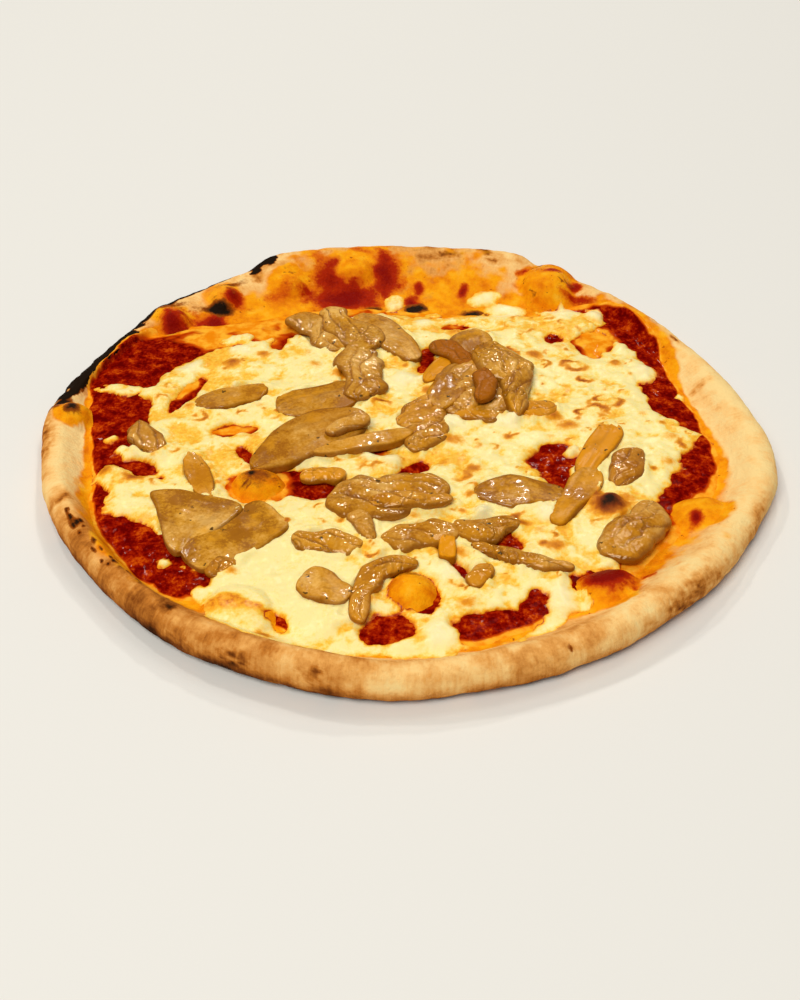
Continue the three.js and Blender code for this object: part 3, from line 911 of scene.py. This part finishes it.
# the mushroom pieces that the cheese rises against: name; x, y; length, width, thickness in
# millimetres; heading, sweep; taper, bluntness, lift; sliced or torn; how orange and how dark
PORCINI = [
    ("petal", 37, 20, 26, 10, 6, 80, 8, 0, 1.5, 6.5, False, 0.5, 0.9),
    ("hump", 45, 43, 33, 23, 10, -58, 0, 0.1, 3, 2.5, False, 0.0, 0.0),
    ("right_lobe", 51, 24, 40, 14, 9, 86, -12, -0.1, 3, 2, False, 0.0, 0.05),
    ("left_lobe", 21, 22, 28, 16, 6.5, 78, 8, 0.1, 3, 1.5, True, 0.05, 0.05),
    ("brown_flap", 25, 53, 28, 15, 4, -50, 12, -0.4, 2.2, 1.5, False, 0.4, 0.9),
    ("disc", 34, 65, 22, 20, 5, 100, 0, 0, 2.2, 0.5, True, 0.0, 0.0),
    ("clump_body", 34, 28, 50, 36, 8, 80, 0, -0.1, 2.6, 0, False, 0.1, 0.15),
    ("side_flap", 17, 43, 26, 10, 3.5, 62, 0, 0, 2.6, 0, True, 0.75, 0.05),
    ("clump_foot", 33, 7, 22, 12, 5, 8, 0, 0, 2.6, 0, False, 0.4, 0.2),
    ("low_bit", 9, 8, 30, 18, 5.5, 50, 0, 0.1, 2.6, 0.3, False, 0.35, 0.1),
    ("nub", 61, 10, 17, 14, 5, 20, 0, 0, 2.6, 0, False, 0.7, 0.1),
    ("fan_middle", -25, 74, 42, 19, 5, -53, 8, 0.1, 5, 2, False, 0.0, 0.0),
    ("fan_right", -6, 70, 48, 18, 4.5, -57, -10, 0.1, 3.4, 0.5, True, 0.0, 0.1),
    ("fan_left", -40, 74, 40, 18, 4.5, -52, 6, -0.1, 5, 0.5, False, 0.0, 0.15),
    ("round_cap", -19, 39, 48, 21, 6, 96, 10, -0.1, 2.6, 1, False, 0.0, 0.1),
    ("curl", -23, -6, 19, 9, 5, 22, -40, 0, 2.4, 4.5, False, 0.1, 0.2),
    ("fold", -41, -11, 60, 24, 6, 38, -32, 0.25, 2.6, 1, True, 0.0, 0.2),
    ("broad_slab", -37, 17, 38, 26, 4, 18, 0, -0.1, 3.4, 0, True, 0.0, 0.1),
    ("long_stem", -16, -15.5, 44, 9, 5, 18, 10, 0, 4, 1.5, True, 0.1, 0.1),
    ("centre_bit", 10, -8, 26, 16, 5.5, 60, 0, 0, 2.4, 0.3, False, 0.1, 0.15),
    ("leaf", -75, 20, 33, 18, 3.5, 24, 10, -0.15, 2.2, 0.2, True, 0.1, 0.1),
    ("left_oval", -110, -11, 27, 14, 5, -60, 12, 0, 2.4, 0.3, False, 0.1, 0.2),
    ("left_sliver", -84, -36, 32, 12, 3.5, -66, 0, -0.1, 2.4, 0.2, True, 0.4, 0.15),
    ("slab_upper", -84, -67, 36, 27, 4, 76, 0, 0.72, 10, 0.5, True, 0.0, 0.0),
    ("slab_lower", -66, -74, 46, 25, 4, 40, 0, 0.05, 8, 0, True, 0.0, 0.0),
    ("slab_tail", -69, -91, 15, 8, 4, 28, 0, 0, 3, -0.5, False, 0.2, 0.4),
    ("sauce_bit", -33, -36, 19, 10, 5, 6, 0, 0, 2.6, 0, False, 0.8, 0.0),
    ("wide_roll", 3, -55, 34, 9, 5, 4, 8, 0, 3, 2.5, False, 0.25, 0.15),
    ("wide_fold", -6, -49, 50, 24, 6, 10, 16, 0, 3, 0.5, False, 0.0, 0.15),
    ("fold_leg", -15, -68, 22, 9, 4, -66, 0, -0.1, 2.6, 1, False, 0.1, 0.2),
    ("chunk", -29, -78, 28, 14, 5.5, -10, 0, -0.1, 5, 0, False, 0.2, 0.0),
    ("front_chunk", -29, -105, 22, 15, 5.5, -35, 0, -0.2, 5, 0, True, 0.1, 0.05),
    ("front_hook", -13, -100, 46, 10, 5, 62, -120, 0.1, 3, 0, False, 0.3, 0.1),
    ("right_lens", 47, -47, 38, 19, 5, -3, 0, 0, 2.8, 0, True, 0.0, 0.05),
    ("yellow_stem", 83, -19, 40, 12, 4.5, 64, 0, 0.1, 6, 0, True, 0.9, 0.1),
    ("right_stem", 71, -50, 40, 13, 5.5, 62, 8, 0.15, 5, 0, True, 0.3, 0.05),
    ("right_shred", 94, -31, 29, 15, 5, 70, 0, 0.15, 2.4, 0, False, 0.15, 0.4),
    ("right_roll", 92, -72, 40, 21, 8, 56, 22, 0, 2.6, 0, False, 0.1, 0.2),
    ("orange_cube", 17, -82, 12, 7, 6, 92, 0, 0, 10, 1, True, 1.0, 0.0),
    ("front_lump", 7, -74, 29, 16, 6, 14, 0, 0, 2.8, 0, False, 0.1, 0.2),
    ("front_lump_right", 33, -69, 28, 16, 6, 8, 0, 0, 2.8, 0, False, 0.1, 0.2),
    ("front_stem", 45, -88, 44, 7, 5, -20, 34, -0.1, 4, 0, False, 0.1, 0.2),
    ("front_shard", 29, -97, 14, 9, 4, 70, 0, 0, 2.4, 0, False, 0.6, 0.2),
]


def spot_gap(x, y, spot):
    """Distance outside a turned ellipse, in metres, and below nought inside it."""
    return (ellipse_reach(x, y, spot) - 1) * MM * math.sqrt(spot[2] * spot[3])


def cheese_inside(x, y):
    """How far inside the cheese a point is, in metres: the distance in from the sheet's edge or
    out from the nearest pool, whichever is less, or in a clump, with a wavering outline."""
    plan = flat_points(x, y)
    waver = MM * (4.5 * rough(plan, 13 * MM, 41) + 3.0 * rough(plan, 5 * MM, 42))
    inside = round_value(CHEESE_RADIUS, np.arctan2(y, x)) - np.hypot(x, y)
    for pool in POOLS:
        inside = np.minimum(inside, spot_gap(x, y, pool))
    for clump in CHEESE_CLUMPS:
        inside = np.maximum(inside, np.minimum(-spot_gap(x, y, clump), 3 * MM))
    return inside + waver


def mushroom_nearness(x, y):
    """Two masks: one along the outline of a mushroom, falling to nought a few millimetres out and
    in from it, and one where a mushroom covers the cheese."""
    near = np.zeros_like(x)
    covered = np.zeros_like(x)
    for _, px, py, length, width, _, heading, *_ in PORCINI:
        gap = spot_gap(x, y, (px, py, length / 2, width / 2, heading))
        fade = np.where(gap > 0, 2.5 * MM, 1.6 * MM)
        near = np.maximum(near, np.exp(-((gap / fade) ** 2)))
        covered = np.maximum(covered, smooth_step(-1 * MM, -3.5 * MM, gap))
    return near, covered


# small browned blisters strewn at random: their number, and the ranges of their place, size and tone
CHEESE_SPOTS = 520
SPOT_REACH = 0.128
SPOT_SIZES = (1.2 * MM, 4.8 * MM)
SPOT_TONES = (0.18, 0.54)
SPOT_STRETCH = 1.35
RING_SHARE = 0.6
# the right side is browner from here on, by this much
BROWNER_FROM = 0.04
BROWNER_BY = 0.1
# where the cheese stayed smooth: x, y, half length, half width in millimetres, and heading
CLEAN_PATCH = (-42, -102, 22, 30, 0)
spot_draw = np.random.default_rng(5)
spot_reach = SPOT_REACH * np.sqrt(spot_draw.uniform(0, 1, CHEESE_SPOTS))
spot_angle = spot_draw.uniform(0, 2 * np.pi, CHEESE_SPOTS)
spot_x = spot_reach * np.cos(spot_angle)
spot_y = spot_reach * np.sin(spot_angle)
spot_growth = spot_draw.uniform(0, 1, CHEESE_SPOTS) ** 2
spot_size = SPOT_SIZES[0] + (SPOT_SIZES[1] - SPOT_SIZES[0]) * spot_growth
spot_depth = spot_draw.uniform(0, 1, CHEESE_SPOTS) ** 2
spot_tone = SPOT_TONES[0] + (SPOT_TONES[1] - SPOT_TONES[0]) * spot_depth
spot_facing = spot_draw.uniform(0, 2 * np.pi, CHEESE_SPOTS)
spot_ring = spot_draw.uniform(0, 1, CHEESE_SPOTS) < RING_SHARE
spot_tone = spot_tone + np.where(spot_x > BROWNER_FROM, BROWNER_BY, 0.0)
spot_tone = np.where(ellipse_reach(spot_x, spot_y, CLEAN_PATCH) < 1, 0.0, spot_tone)
# large browned blisters: x, y, radius in millimetres, and depth of browning
BROWNED = [
    (-126, -31, 5, 0.7),
    (-111, -35, 4.5, 0.8),
    (58, -20, 3.6, 1.0),
    (60, -79, 4, 0.5),
    (-79, 48, 4, 0.6),
    (84, -56, 6.5, 1.1),
    (62, 55, 4, 0.5),
    (99, 48, 3.5, 0.5),
    (-50, -128, 3.5, 0.55),
    (24, -111, 4, 0.45),
    (30, -31, 3.5, 0.5),
    (16, -26, 4, 0.45),
]


def cheese_spots(x, y):
    """Browned blisters: each a rounded bump a little wider than deep, browned all over its top or
    in a crescent along one side. Gives the browning, the oily halo and the added height."""
    brown = np.zeros_like(x)
    halo = np.zeros_like(x)
    rise = np.zeros_like(x)
    ragged = 0.28 * rough(flat_points(x, y), 2.6 * MM, 51)
    drawn = list(zip(spot_x, spot_y, spot_size, spot_tone, spot_facing, spot_ring))
    placed = [(MM * bx, MM * by, MM * size, tone, 0.0, False) for bx, by, size, tone in BROWNED]
    for sx, sy, size, tone, facing, ring in drawn + placed:
        away = np.hypot((x - sx) / SPOT_STRETCH, y - sy) / size + ragged
        side = 0.5 + 0.5 * np.cos(np.arctan2(y - sy, x - sx) - facing)
        crescent = side * np.exp(-(((away - 0.75) / 0.32) ** 2))
        disc = np.exp(-1.2 * np.clip(away, 0, None) ** 2)
        brown = np.maximum(brown, tone * (1.3 * crescent if ring else disc))
        halo = np.maximum(halo, tone * np.exp(-((away / 1.5) ** 2)))
        rise = np.maximum(rise, 0.18 * size * np.exp(-(away**2)))
    return brown, halo, rise


# white lumps of cheese that did not melt flat: x, y, radius and rise in millimetres
WHITE_LUMPS = [
    (58, -60, 5.5, 2.2),
    (33, -59, 4.5, 2.0),
    (23, 0, 6, 2.2),
    (47, 1, 6, 2.0),
    (74, -19, 5, 2.4),
    (20, -93, 8, 1.5),
    (-50, -24, 6, 2.0),
    (112, 40, 8, 1.2),
    (95, 91, 6, 1.2),
    (41, 108, 6, 0.3),
    (-3, 105, 5, 0.8),
    (52, 97, 9, 0.8),
    (78, 95, 8, 0.8),
    (-13, -22, 4.5, 1.6),
    (-4, -25, 4.5, 1.6),
    (3, -33, 4.5, 1.6),
    (9, -40, 4.5, 1.6),
    (14, -126, 7, 1.0),
    (58, -108, 8, 1.0),
    (2, 36, 7, 0.8),
    (10, 84, 5, 0.8),
    (-75, 60, 6, 1.0),
    (-98, 44, 6, 1.0),
]


def white_lumps(x, y):
    """Lumps of unmelted cheese: a mask that falls off round each one, and its height in metres
    with a curdled relief over it."""
    plan = flat_points(x, y)
    ragged = 0.35 * rough(plan, 4 * MM, 54)
    curdled = 1 + 0.5 * rough(plan, 2.4 * MM, 55)
    mask = np.zeros_like(x)
    rise = np.zeros_like(x)
    for lx, ly, radius, height in WHITE_LUMPS:
        away = np.hypot(x - MM * lx, y - MM * ly) / (MM * radius) + ragged
        share = 0.8 * (1 - smooth_step(0.3, 1.2, away))
        mask = np.maximum(mask, share)
        rise = np.maximum(rise, MM * height * share * curdled)
    return mask, rise


# the cheese that swelled over a blister of the dough, with oil along the back of it: x, y, half
# length, half width in millimetres, and heading
CHEESE_SWELL = (-61, -119, 19, 12, -25)
# stretches where the cheese is thin and mottled: x, y, half length, half width, and heading
MOTTLED = [
    (-85, 45, 30, 20, 20),
    (-98, 8, 18, 24, 0),
    (-4, -24, 28, 14, 20),
    (0, 32, 13, 28, 0),
    (12, 84, 36, 10, 0),
    (66, 84, 30, 12, 0),
    (-75, -20, 18, 18, 0),
    (20, 92, 50, 8, 0),
]


def closed_sheet(x, y, top, bottom, kept):
    """Points and quads of a closed sheet over a square grid: the kept cells of its top, the same
    cells turned over as its underside, and a wall along each edge that only one cell has. Also
    gives the places, in the top's points and then the underside's, of the points that it uses."""
    size = x.shape[1]
    count = x.size
    cell = np.argwhere(kept)
    corner = cell[:, 0] * size + cell[:, 1]
    top_quads = np.stack([corner, corner + size, corner + size + 1, corner + 1], axis=-1)
    edges = np.concatenate([top_quads[:, [k, (k + 1) % 4]] for k in range(4)])
    code = edges.min(1) * count + edges.max(1)
    _, first, repeats = np.unique(code, return_index=True, return_counts=True)
    rim = edges[first[repeats == 1]]
    walls = np.stack([rim[:, 1], rim[:, 0], rim[:, 0] + count, rim[:, 1] + count], axis=-1)
    quads = np.concatenate([top_quads, top_quads[:, ::-1] + count, walls])
    used, packed = np.unique(quads, return_inverse=True)
    sides = [np.stack([x, y, level], axis=-1).reshape(-1, 3) for level in (top, bottom)]
    return np.concatenate(sides)[used], packed.reshape(-1, 4), used


def cheese_surface():
    """The sheet as a square grid over its plan, kept where it is inside the outline or just past
    it. The top follows the sauce, swells into soft lumps, sinks in thin patches, climbs
    against the mushrooms and dives under the sauce at the outline; the underside runs below
    it and walls close the rim."""
    half = np.arange(-CHEESE_HALF, CHEESE_HALF, CHEESE_CELL)
    x, y = np.meshgrid(half, half, indexing="ij")
    plan = flat_points(x, y)
    inside = cheese_inside(x, y)
    under, sauced = sauce_level(x, y)
    under = np.maximum(under, dough_top(x, y))
    for blister in BLISTERS:
        under = np.maximum(under, blister_top(x, y, blister))
    brown, halo, rise = cheese_spots(x, y)
    white, white_rise = white_lumps(x, y)
    body = 1 - np.exp(-np.clip(inside, 0, None) / (2.6 * MM))
    bent = plan + 6 * MM * flat_points(rough(plan, 12 * MM, 47), rough(plan, 12 * MM, 48))
    busy = spots_mask(x, y, MOTTLED, 0.5)
    clean = 1 - smooth_step(0.8, 1.2, ellipse_reach(x, y, CLEAN_PATCH))
    marble = 0.85 * rough(bent, 8 * MM, 49) + 0.45 * rough(plan, 3 * MM, 56)
    patches = smooth_step(0.0, 0.5, marble + 0.4 * busy - 0.5 * clean) * (1 - white)
    lumps = 0.9 * rough(plan, 11 * MM, 45) + 0.55 * rough(plan, 4.2 * MM, 46) - 0.6 * patches
    bare = smooth_step(2 * MM, -6 * MM, sauced)
    thinned = 1 - 0.6 * smooth_step(14 * MM, -4 * MM, sauced)
    depth = (CHEESE_DEPTH + MM * lumps) * body * thinned
    depth = np.where(inside > 0, depth, 0.8 * inside)
    near, covered = mushroom_nearness(x, y)
    climb = MM * (1.2 + 2.0 * rough(plan, 6 * MM, 52)) * near
    top = under + np.maximum(depth, -CHEESE_DIVE) + (rise + climb + white_rise) * body
    top = top - CHEESE_PRESSED * covered
    bottom = np.minimum(top - CHEESE_LEAST, CHEESE_UNDERSIDE)
    points, quads, used = closed_sheet(x, y, top, bottom, inside[:-1, :-1] > -CHEESE_MARGIN)
    edge = np.exp(-np.clip(inside, 0, None) / (MM * (1 + bare))) * (1 - 0.4 * bare)
    thin = np.maximum(np.maximum(edge, 0.44 * patches), 0.5 * halo)
    swell = ellipse_reach(x, y, CHEESE_SWELL) + 0.2 * rough(plan, 9 * MM, 53)
    behind = smooth_step(-4 * MM, 6 * MM, y - MM * CHEESE_SWELL[1])
    thin = np.maximum(thin, 0.68 * behind * (1 - smooth_step(0.65, 0.85, swell)))
    values = {"brown": brown * body * (1 - white), "thin": thin, "white": white * body}
    return points, quads, {key: np.tile(value.ravel(), 2)[used] for key, value in values.items()}


def cheese_material():
    """Melted mozzarella: cream, yellow to orange where it thins over the sauce, with blister tops
    browned from gold to dark toasted brown and an oily sheen."""
    material, tree, shader = new_material("melted_mozzarella")
    blotch, grain = placed_group(tree, MOTTLE, (95.0, 600.0))
    varied = [centred(tree, blotch, 0.6), centred(tree, grain, 0.8), -0.02]
    colour = colour_ramp(tree, sum_of(tree, attribute_value(tree, "thin"), *varied), [
        (0.0, (1.0, 0.83, 0.35, 1)),
        (0.18, (1.0, 0.75, 0.22, 1)),
        (0.38, (1.0, 0.57, 0.05, 1)),
        (0.60, (0.93, 0.37, 0.012, 1)),
        (0.85, (0.58, 0.10, 0.003, 1)),
        (1.0, (0.38, 0.025, 0.001, 1)),
    ])
    curds = share_between(tree, grain, 0.3, 0.5)
    white = math_value(tree, "MULTIPLY", attribute_value(tree, "white"), curds)
    colour = mixed(tree, white, colour, (1.0, 0.87, 0.50, 1))
    brown = sum_of(tree, attribute_value(tree, "brown"), centred(tree, grain, 0.3))
    browned = colour_ramp(tree, brown, [
        (0.08, (1.0, 0.60, 0.08, 1)),
        (0.20, (0.97, 0.46, 0.020, 1)),
        (0.36, (0.78, 0.28, 0.004, 1)),
        (0.55, (0.48, 0.12, 0.002, 1)),
        (0.75, (0.24, 0.04, 0.001, 1)),
        (1.0, (0.02, 0.006, 0.001, 1)),
    ])
    ripple = placed_group(tree, RIPPLE, (300.0,))[0]
    set_inputs(tree, shader, {
        "Base Color": mixed(tree, share_between(tree, brown, 0.08, 0.35), colour, browned),
        "Roughness": math_value(tree, "MULTIPLY_ADD", attribute_value(tree, "brown"), 0.5, 0.3),
        "Specular IOR Level": 0.16,
        "Subsurface Weight": 0.15,
        "Subsurface Radius": (1.0, 0.6, 0.25),
        "Subsurface Scale": 0.0006,
        "Normal": bump_normal(tree, ripple, 0.0007, 0.4),
    })
    return material


cheese = piece_object("mozzarella_melted", *cheese_surface(), cheese_material())
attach(cheese, "root")
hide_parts("mozzarella")


# Porcini
# Cooked mushroom cut into slices and torn into folds, laid on the cheese before baking.
# The flesh is tan and oily, with painted shade in its folds, on its sides and along the edges of its top,
# painted light and shade over its relief, and some thin pieces gone orange.
PORCINI_ROWS = 84
PORCINI_COLUMNS = 64
# share of its thickness that a piece sinks in, how square its section is, how slowly its ends thin
# and how fine its outline is bent, for a sliced and for a torn piece
SLICED_SUNK = 0.2
SLICED_SECTION = 0.28
SLICED_ENDS = 0.25
SLICED_BEND = 0.2
TORN_SUNK = 0.05
TORN_SECTION = 0.8
TORN_ENDS = 0.6
TORN_BEND = 1.0
FOLD_WIDTH = 7.0
MOSTLY_DARK = 0.5


def section_turns(half_width, half_height, power):
    """Angles round a rounded section, spaced so that its points lie evenly along its outline."""
    turn = np.linspace(0, 2 * np.pi, 2001)
    across = half_width * blunted(np.cos(turn), power)
    up = half_height * blunted(np.sin(turn), power)
    length = np.concatenate([[0], np.cumsum(np.hypot(np.diff(across), np.diff(up)))])
    even = np.linspace(0, length[-1], PORCINI_COLUMNS, endpoint=False)
    return -np.interp(even, length, turn)


def cut_edge(along, across, seed):
    """Outline of a cut slice, as shares of its half width: straight lines between a few corners
    drawn at random on each side of it."""
    draw = np.random.default_rng(seed)
    corners = np.array([-1.0, -0.62, -0.15, 0.35, 0.75, 1.0]) + draw.uniform(-0.1, 0.1, 6)
    left = np.interp(along, corners, draw.uniform(0.76, 1.12, 6))
    right = np.interp(along, corners, draw.uniform(0.76, 1.12, 6))
    return np.where(across > 0, left, right)


def torn_edge(along, across, length, phase, seed):
    """Outline of a torn piece, as shares of its half width: a slow wave and a ragged relief that
    differ from one side to the other."""
    side = np.sign(across)
    margin = np.stack(np.broadcast_arrays(along * length / 2, 40 * side, 0.0), axis=-1)
    return 1 + 0.06 * np.sin(4 * along + phase + 2 * side) + 0.22 * uneven(margin, 8, seed)


def slice_relief(local, seed):
    """Relief and creases of a cut face: low swells and streaks along it, in millimetres, and dark
    pores."""
    streaks = uneven(local * np.array([0.15, 1, 1]), 1.7, seed + 2)
    relief = 0.5 * uneven(local, 12, seed) + 0.14 * streaks - 0.1
    pores = 0.45 * smooth_step(0.3, 0.6, rough(local, 2.4, seed + 1))
    return relief, np.maximum(pores, 0.35 * smooth_step(0.25, 0.7, streaks))


def fold_relief(local, seed):
    """Relief of a torn piece, in millimetres, and a mask of painted shade in the creases between its
    leaves: leaves that overlap, each rising slowly and dropping sharply, bent by a random relief and fading
    out in places."""
    bent = local[..., 1] + 0.35 * local[..., 0] + 4.0 * uneven(local, 13, seed + 3)
    bent += 1.2 * uneven(local, 5, seed + 4)
    place = bent / FOLD_WIDTH + (seed % 7) / 7
    part = place - np.floor(place)
    strength = smooth_step(-0.6, 0.3, uneven(local, 9, seed + 5))
    leaf = np.sqrt(part) * (1 - smooth_step(0.82, 1.0, part))
    gap = np.minimum(part, 1 - part)
    return 1.5 * strength * (leaf - 0.6), strength * (1 - smooth_step(0.02, 0.13, gap))


def plan_bend(x, y, fine):
    """Shift of the plan, in millimetres, that makes outlines irregular. It is a random relief of
    two sizes, alike for all pieces so that neighbours stay side by side; a cut piece has less
    of the fine one."""
    plan = flat_points(x, y)
    shift_x = 1.6 * uneven(plan, 15, 61) + fine * uneven(plan, 5.5, 62)
    shift_y = 1.6 * uneven(plan, 15, 63) + fine * uneven(plan, 5.5, 64)
    return shift_x, shift_y


def porcini_points(row):
    """A mushroom piece: a rounded section carried along an arc. Its width and thickness shrink to
    both ends, its edges and top are wavy and ragged, and the relief of a cut or of a torn
    piece is laid over it."""
    name, px, py, length, width, thickness, heading, sweep = row[:8]
    taper, blunt, lift, sliced, orange, dark = row[8:]
    turn = math.radians(heading)
    bend = math.radians(sweep)
    power = SLICED_SECTION if sliced else TORN_SECTION
    seed = 1000 + sum(map(ord, name))
    along = -np.cos(np.linspace(0.02, np.pi - 0.02, PORCINI_ROWS))[:, None]
    end = np.sqrt(1 - np.abs(along) ** blunt)
    around = section_turns(width / 2, thickness / 2, power)[None, :]
    across = blunted(np.cos(around), power)
    up = blunted(np.sin(around), power)
    phase = length + 2 * width + turn
    if sliced:
        edge = cut_edge(along, across, seed)
    else:
        edge = torn_edge(along, across, length, phase, seed)
    crown = 1 + 0.12 * np.sin(3 * along + 2 * across + phase)
    side = width / 2 * end * (1 + taper * along) * edge * across
    rise = thickness / 2 * end ** (SLICED_ENDS if sliced else TORN_ENDS) * crown * up
    place = np.broadcast_arrays(along * length / 2, across * width / 2, up * thickness / 2)
    local = np.stack(place, axis=-1)
    relief, crease = slice_relief(local, seed) if sliced else fold_relief(local, seed)
    # a random tone plus painted light and shade: lighter on the crests of the relief, darker in its troughs
    shade = uneven(local, 14, seed + 8) + 0.6 * relief
    relief = relief * end * np.clip(up, 0, None)
    chord = along if bend == 0 else np.sin(bend * along / 4) / (bend / 4)
    chord_heading = turn + bend * along / 4
    facing = turn + bend * along / 2
    middle = TOPPING_REST / MM + lift - thickness * (SLICED_SUNK if sliced else TORN_SUNK)
    x = px + length / 2 * chord * np.cos(chord_heading) - side * np.sin(facing)
    y = py + length / 2 * chord * np.sin(chord_heading) + side * np.cos(facing)
    shift_x, shift_y = plan_bend(x, y, SLICED_BEND if sliced else TORN_BEND)
    wrinkled = smooth_step(0.0, 0.3, rough(local, 9, seed + 6))
    wrinkles = 0.22 * wrinkled * uneven(local * np.array([1, 1.8, 1]), 2.0, seed + 7)
    level = middle + rise + relief + wrinkles * np.clip(up, 0, None)
    points = MM * np.stack([x + shift_x, y + shift_y, level], axis=-1)
    whole = np.ones((PORCINI_ROWS, PORCINI_COLUMNS))
    # crease, wall and outline are masks of painted shade: in the creases of the folds, on the sides and
    # underside, and along the edge of the top; on a cut face the crease mask holds its real pores and
    # streaks
    return points, {
        "crease": crease,
        "wall": 1 - smooth_step(0.45, 0.9, up * whole),
        "outline": smooth_step(0.8, 1.0, np.maximum(np.abs(across), np.abs(along) ** 4)),
        "shade": shade,
        "wet": 0.06 + 0.3 * wrinkled if sliced else 0.5 + 0.7 * wrinkled,
        "orange": orange * whole,
        "dark": dark * whole,
    }


def porcini_material(name, paler, dull, shine, oiled):
    """Cooked porcini flesh: tan, golden in patches, with dark veins, orange or dark brown in some
    pieces, and flecked with herbs. Painted shade darkens its creases, its sides and the edge of its
    top, and painted light and shade follow its relief. A torn face is paler and shines all over; a
    cut one is dull with oil in patches."""
    material, tree, shader = new_material(name)
    blotch, grain = placed_group(tree, MOTTLE, (170.0, 900.0))
    wet = attribute_value(tree, "wet")
    orange = attribute_value(tree, "orange")
    dark = attribute_value(tree, "dark")
    # this tone lightens crests and darkens troughs as painted light and shade, over a random tone
    shade = math_value(tree, "MULTIPLY_ADD", attribute_value(tree, "shade"), 0.32, paler)
    flesh = colour_ramp(tree, sum_of(tree, blotch, centred(tree, grain, 0.8), shade), [
        (0.22, (0.36, 0.125, 0.003, 1)),
        (0.40, (0.56, 0.235, 0.010, 1)),
        (0.58, (0.67, 0.315, 0.036, 1)),
        (0.80, (0.85, 0.470, 0.100, 1)),
    ])
    golden = placed_group(tree, MOTTLE, (70.0, 900.0))[0]
    golden = math_value(tree, "MULTIPLY", share_between(tree, golden, 0.52, 0.68), 0.7)
    flesh = mixed(tree, golden, flesh, (0.74, 0.31, 0.006, 1))
    flesh = mixed(tree, orange, flesh, (0.82, 0.31, 0.003, 1))
    flesh = mixed(tree, dark, flesh, (0.36, 0.092, 0.001, 1))
    field = placed_group(tree, RIPPLE, (120.0,))[0]
    level = math_value(tree, "ABSOLUTE", math_value(tree, "SUBTRACT", field, 0.5), 0.0)
    vein = math_value(tree, "MULTIPLY", share_between(tree, level, 0.05, 0.0), wet)
    # painted shade: the flesh darkens along the edge of its top, on its sides and underside, and in the
    # creases of its folds
    for share, strength in (("outline", 0.45), ("wall", 0.5), ("crease", 0.7)):
        darker = math_value(tree, "MULTIPLY", attribute_value(tree, share), strength)
        flesh = mixed(tree, darker, flesh, (0.22, 0.065, 0.002, 1))
    flesh = mixed(tree, math_value(tree, "MULTIPLY", vein, 0.35), flesh, (0.26, 0.080, 0.003, 1))
    herbs = placed_group(tree, FLECKS, (230.0, 0.17, 0.25))[0]
    oil = math_value(tree, "MULTIPLY", share_between(tree, wet, 0.1, 0.36), oiled)
    pale = share_between(tree, math_value(tree, "MAXIMUM", orange, dark), 0.7, 0.2)
    ripple = placed_group(tree, RIPPLE, (320.0,))[0]
    skin = math_value(tree, "MULTIPLY", math_value(tree, "MULTIPLY_ADD", vein, -0.2, ripple), wet)
    set_inputs(tree, shader, {
        "Base Color": mixed(tree, herbs, flesh, (0.10, 0.045, 0.005, 1)),
        "Roughness": dull,
        "Specular IOR Level": shine,
        "Specular Tint": (1.0, 0.85, 0.6, 1),
        "Coat Weight": math_value(tree, "MULTIPLY", oil, pale),
        "Coat Roughness": 0.15,
        "Normal": bump_normal(tree, skin, 0.0012, 1.0),
    })
    return material


cut_flesh = porcini_material("porcini_cut", -0.06, 0.3, 0.1, 0.8)
torn_flesh = porcini_material("porcini_torn", 0.03, 0.13, 0.5, 0.0)
for porcini_row in PORCINI:
    *_, sliced, _, dark = porcini_row
    flesh = cut_flesh if sliced or dark > MOSTLY_DARK else torn_flesh
    slice_piece = closed_piece("mushroom_" + porcini_row[0], *porcini_points(porcini_row), flesh)
    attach(slice_piece, "root")
    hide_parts("porcini_" + porcini_row[0])


# Floor and light
# A plain pale floor and soft studio light: a broad lamp above the front, a weaker one at the
# back, two small ones there that make the oil glint, and an even glow all round.
FLOOR_HALF = 6.0
floor_mesh = bpy.data.meshes.new("floor")
floor_plan = ((-1, -1), (1, -1), (1, 1), (-1, 1))
floor_corners = [(FLOOR_HALF * x, FLOOR_HALF * y, 0) for x, y in floor_plan]
floor_mesh.from_pydata(floor_corners, [], [(0, 1, 2, 3)])
floor_material, floor_tree, floor_shader = new_material("pale_floor")
set_inputs(floor_tree, floor_shader, {
    "Base Color": (0.83, 0.815, 0.77, 1),
    "Roughness": 0.9,
    "Specular IOR Level": 0.0,
})
floor_mesh.materials.append(floor_material)
floor = add_object("floor", floor_mesh)


def lamp(name, place, size, power, colour):
    """A square soft lamp at a place, turned to face the middle of the pizza."""
    light = bpy.data.lights.new(name, "AREA")
    light.size = size
    light.energy = power
    light.color = colour
    piece = add_object(name, light)
    piece.location = place
    flat_run = math.hypot(place[0], place[1])
    piece.rotation_euler = (math.atan2(flat_run, place[2]), 0, math.atan2(place[0], -place[1]))


LAMP_COLOUR = (1.0, 0.975, 0.93)
lamp("front_lamp", (-0.7, -1.3, 2.2), 1.4, 46.0, LAMP_COLOUR)
lamp("back_lamp", (0.8, 1.2, 2.3), 0.8, 9.0, LAMP_COLOUR)
lamp("glint_lamp_right", (0.3, 1.75, 1.65), 0.14, 8.0, LAMP_COLOUR)
lamp("glint_lamp_left", (-0.8, 1.3, 1.8), 0.14, 8.0, LAMP_COLOUR)
world = bpy.data.worlds.new("studio_glow")
world.use_nodes = True
glow = {"Color": (1.0, 0.985, 0.95, 1), "Strength": 0.22}
set_inputs(world.node_tree, world.node_tree.nodes["Background"], glow)
bpy.context.scene.world = world
bpy.context.scene.view_settings.view_transform = "Standard"
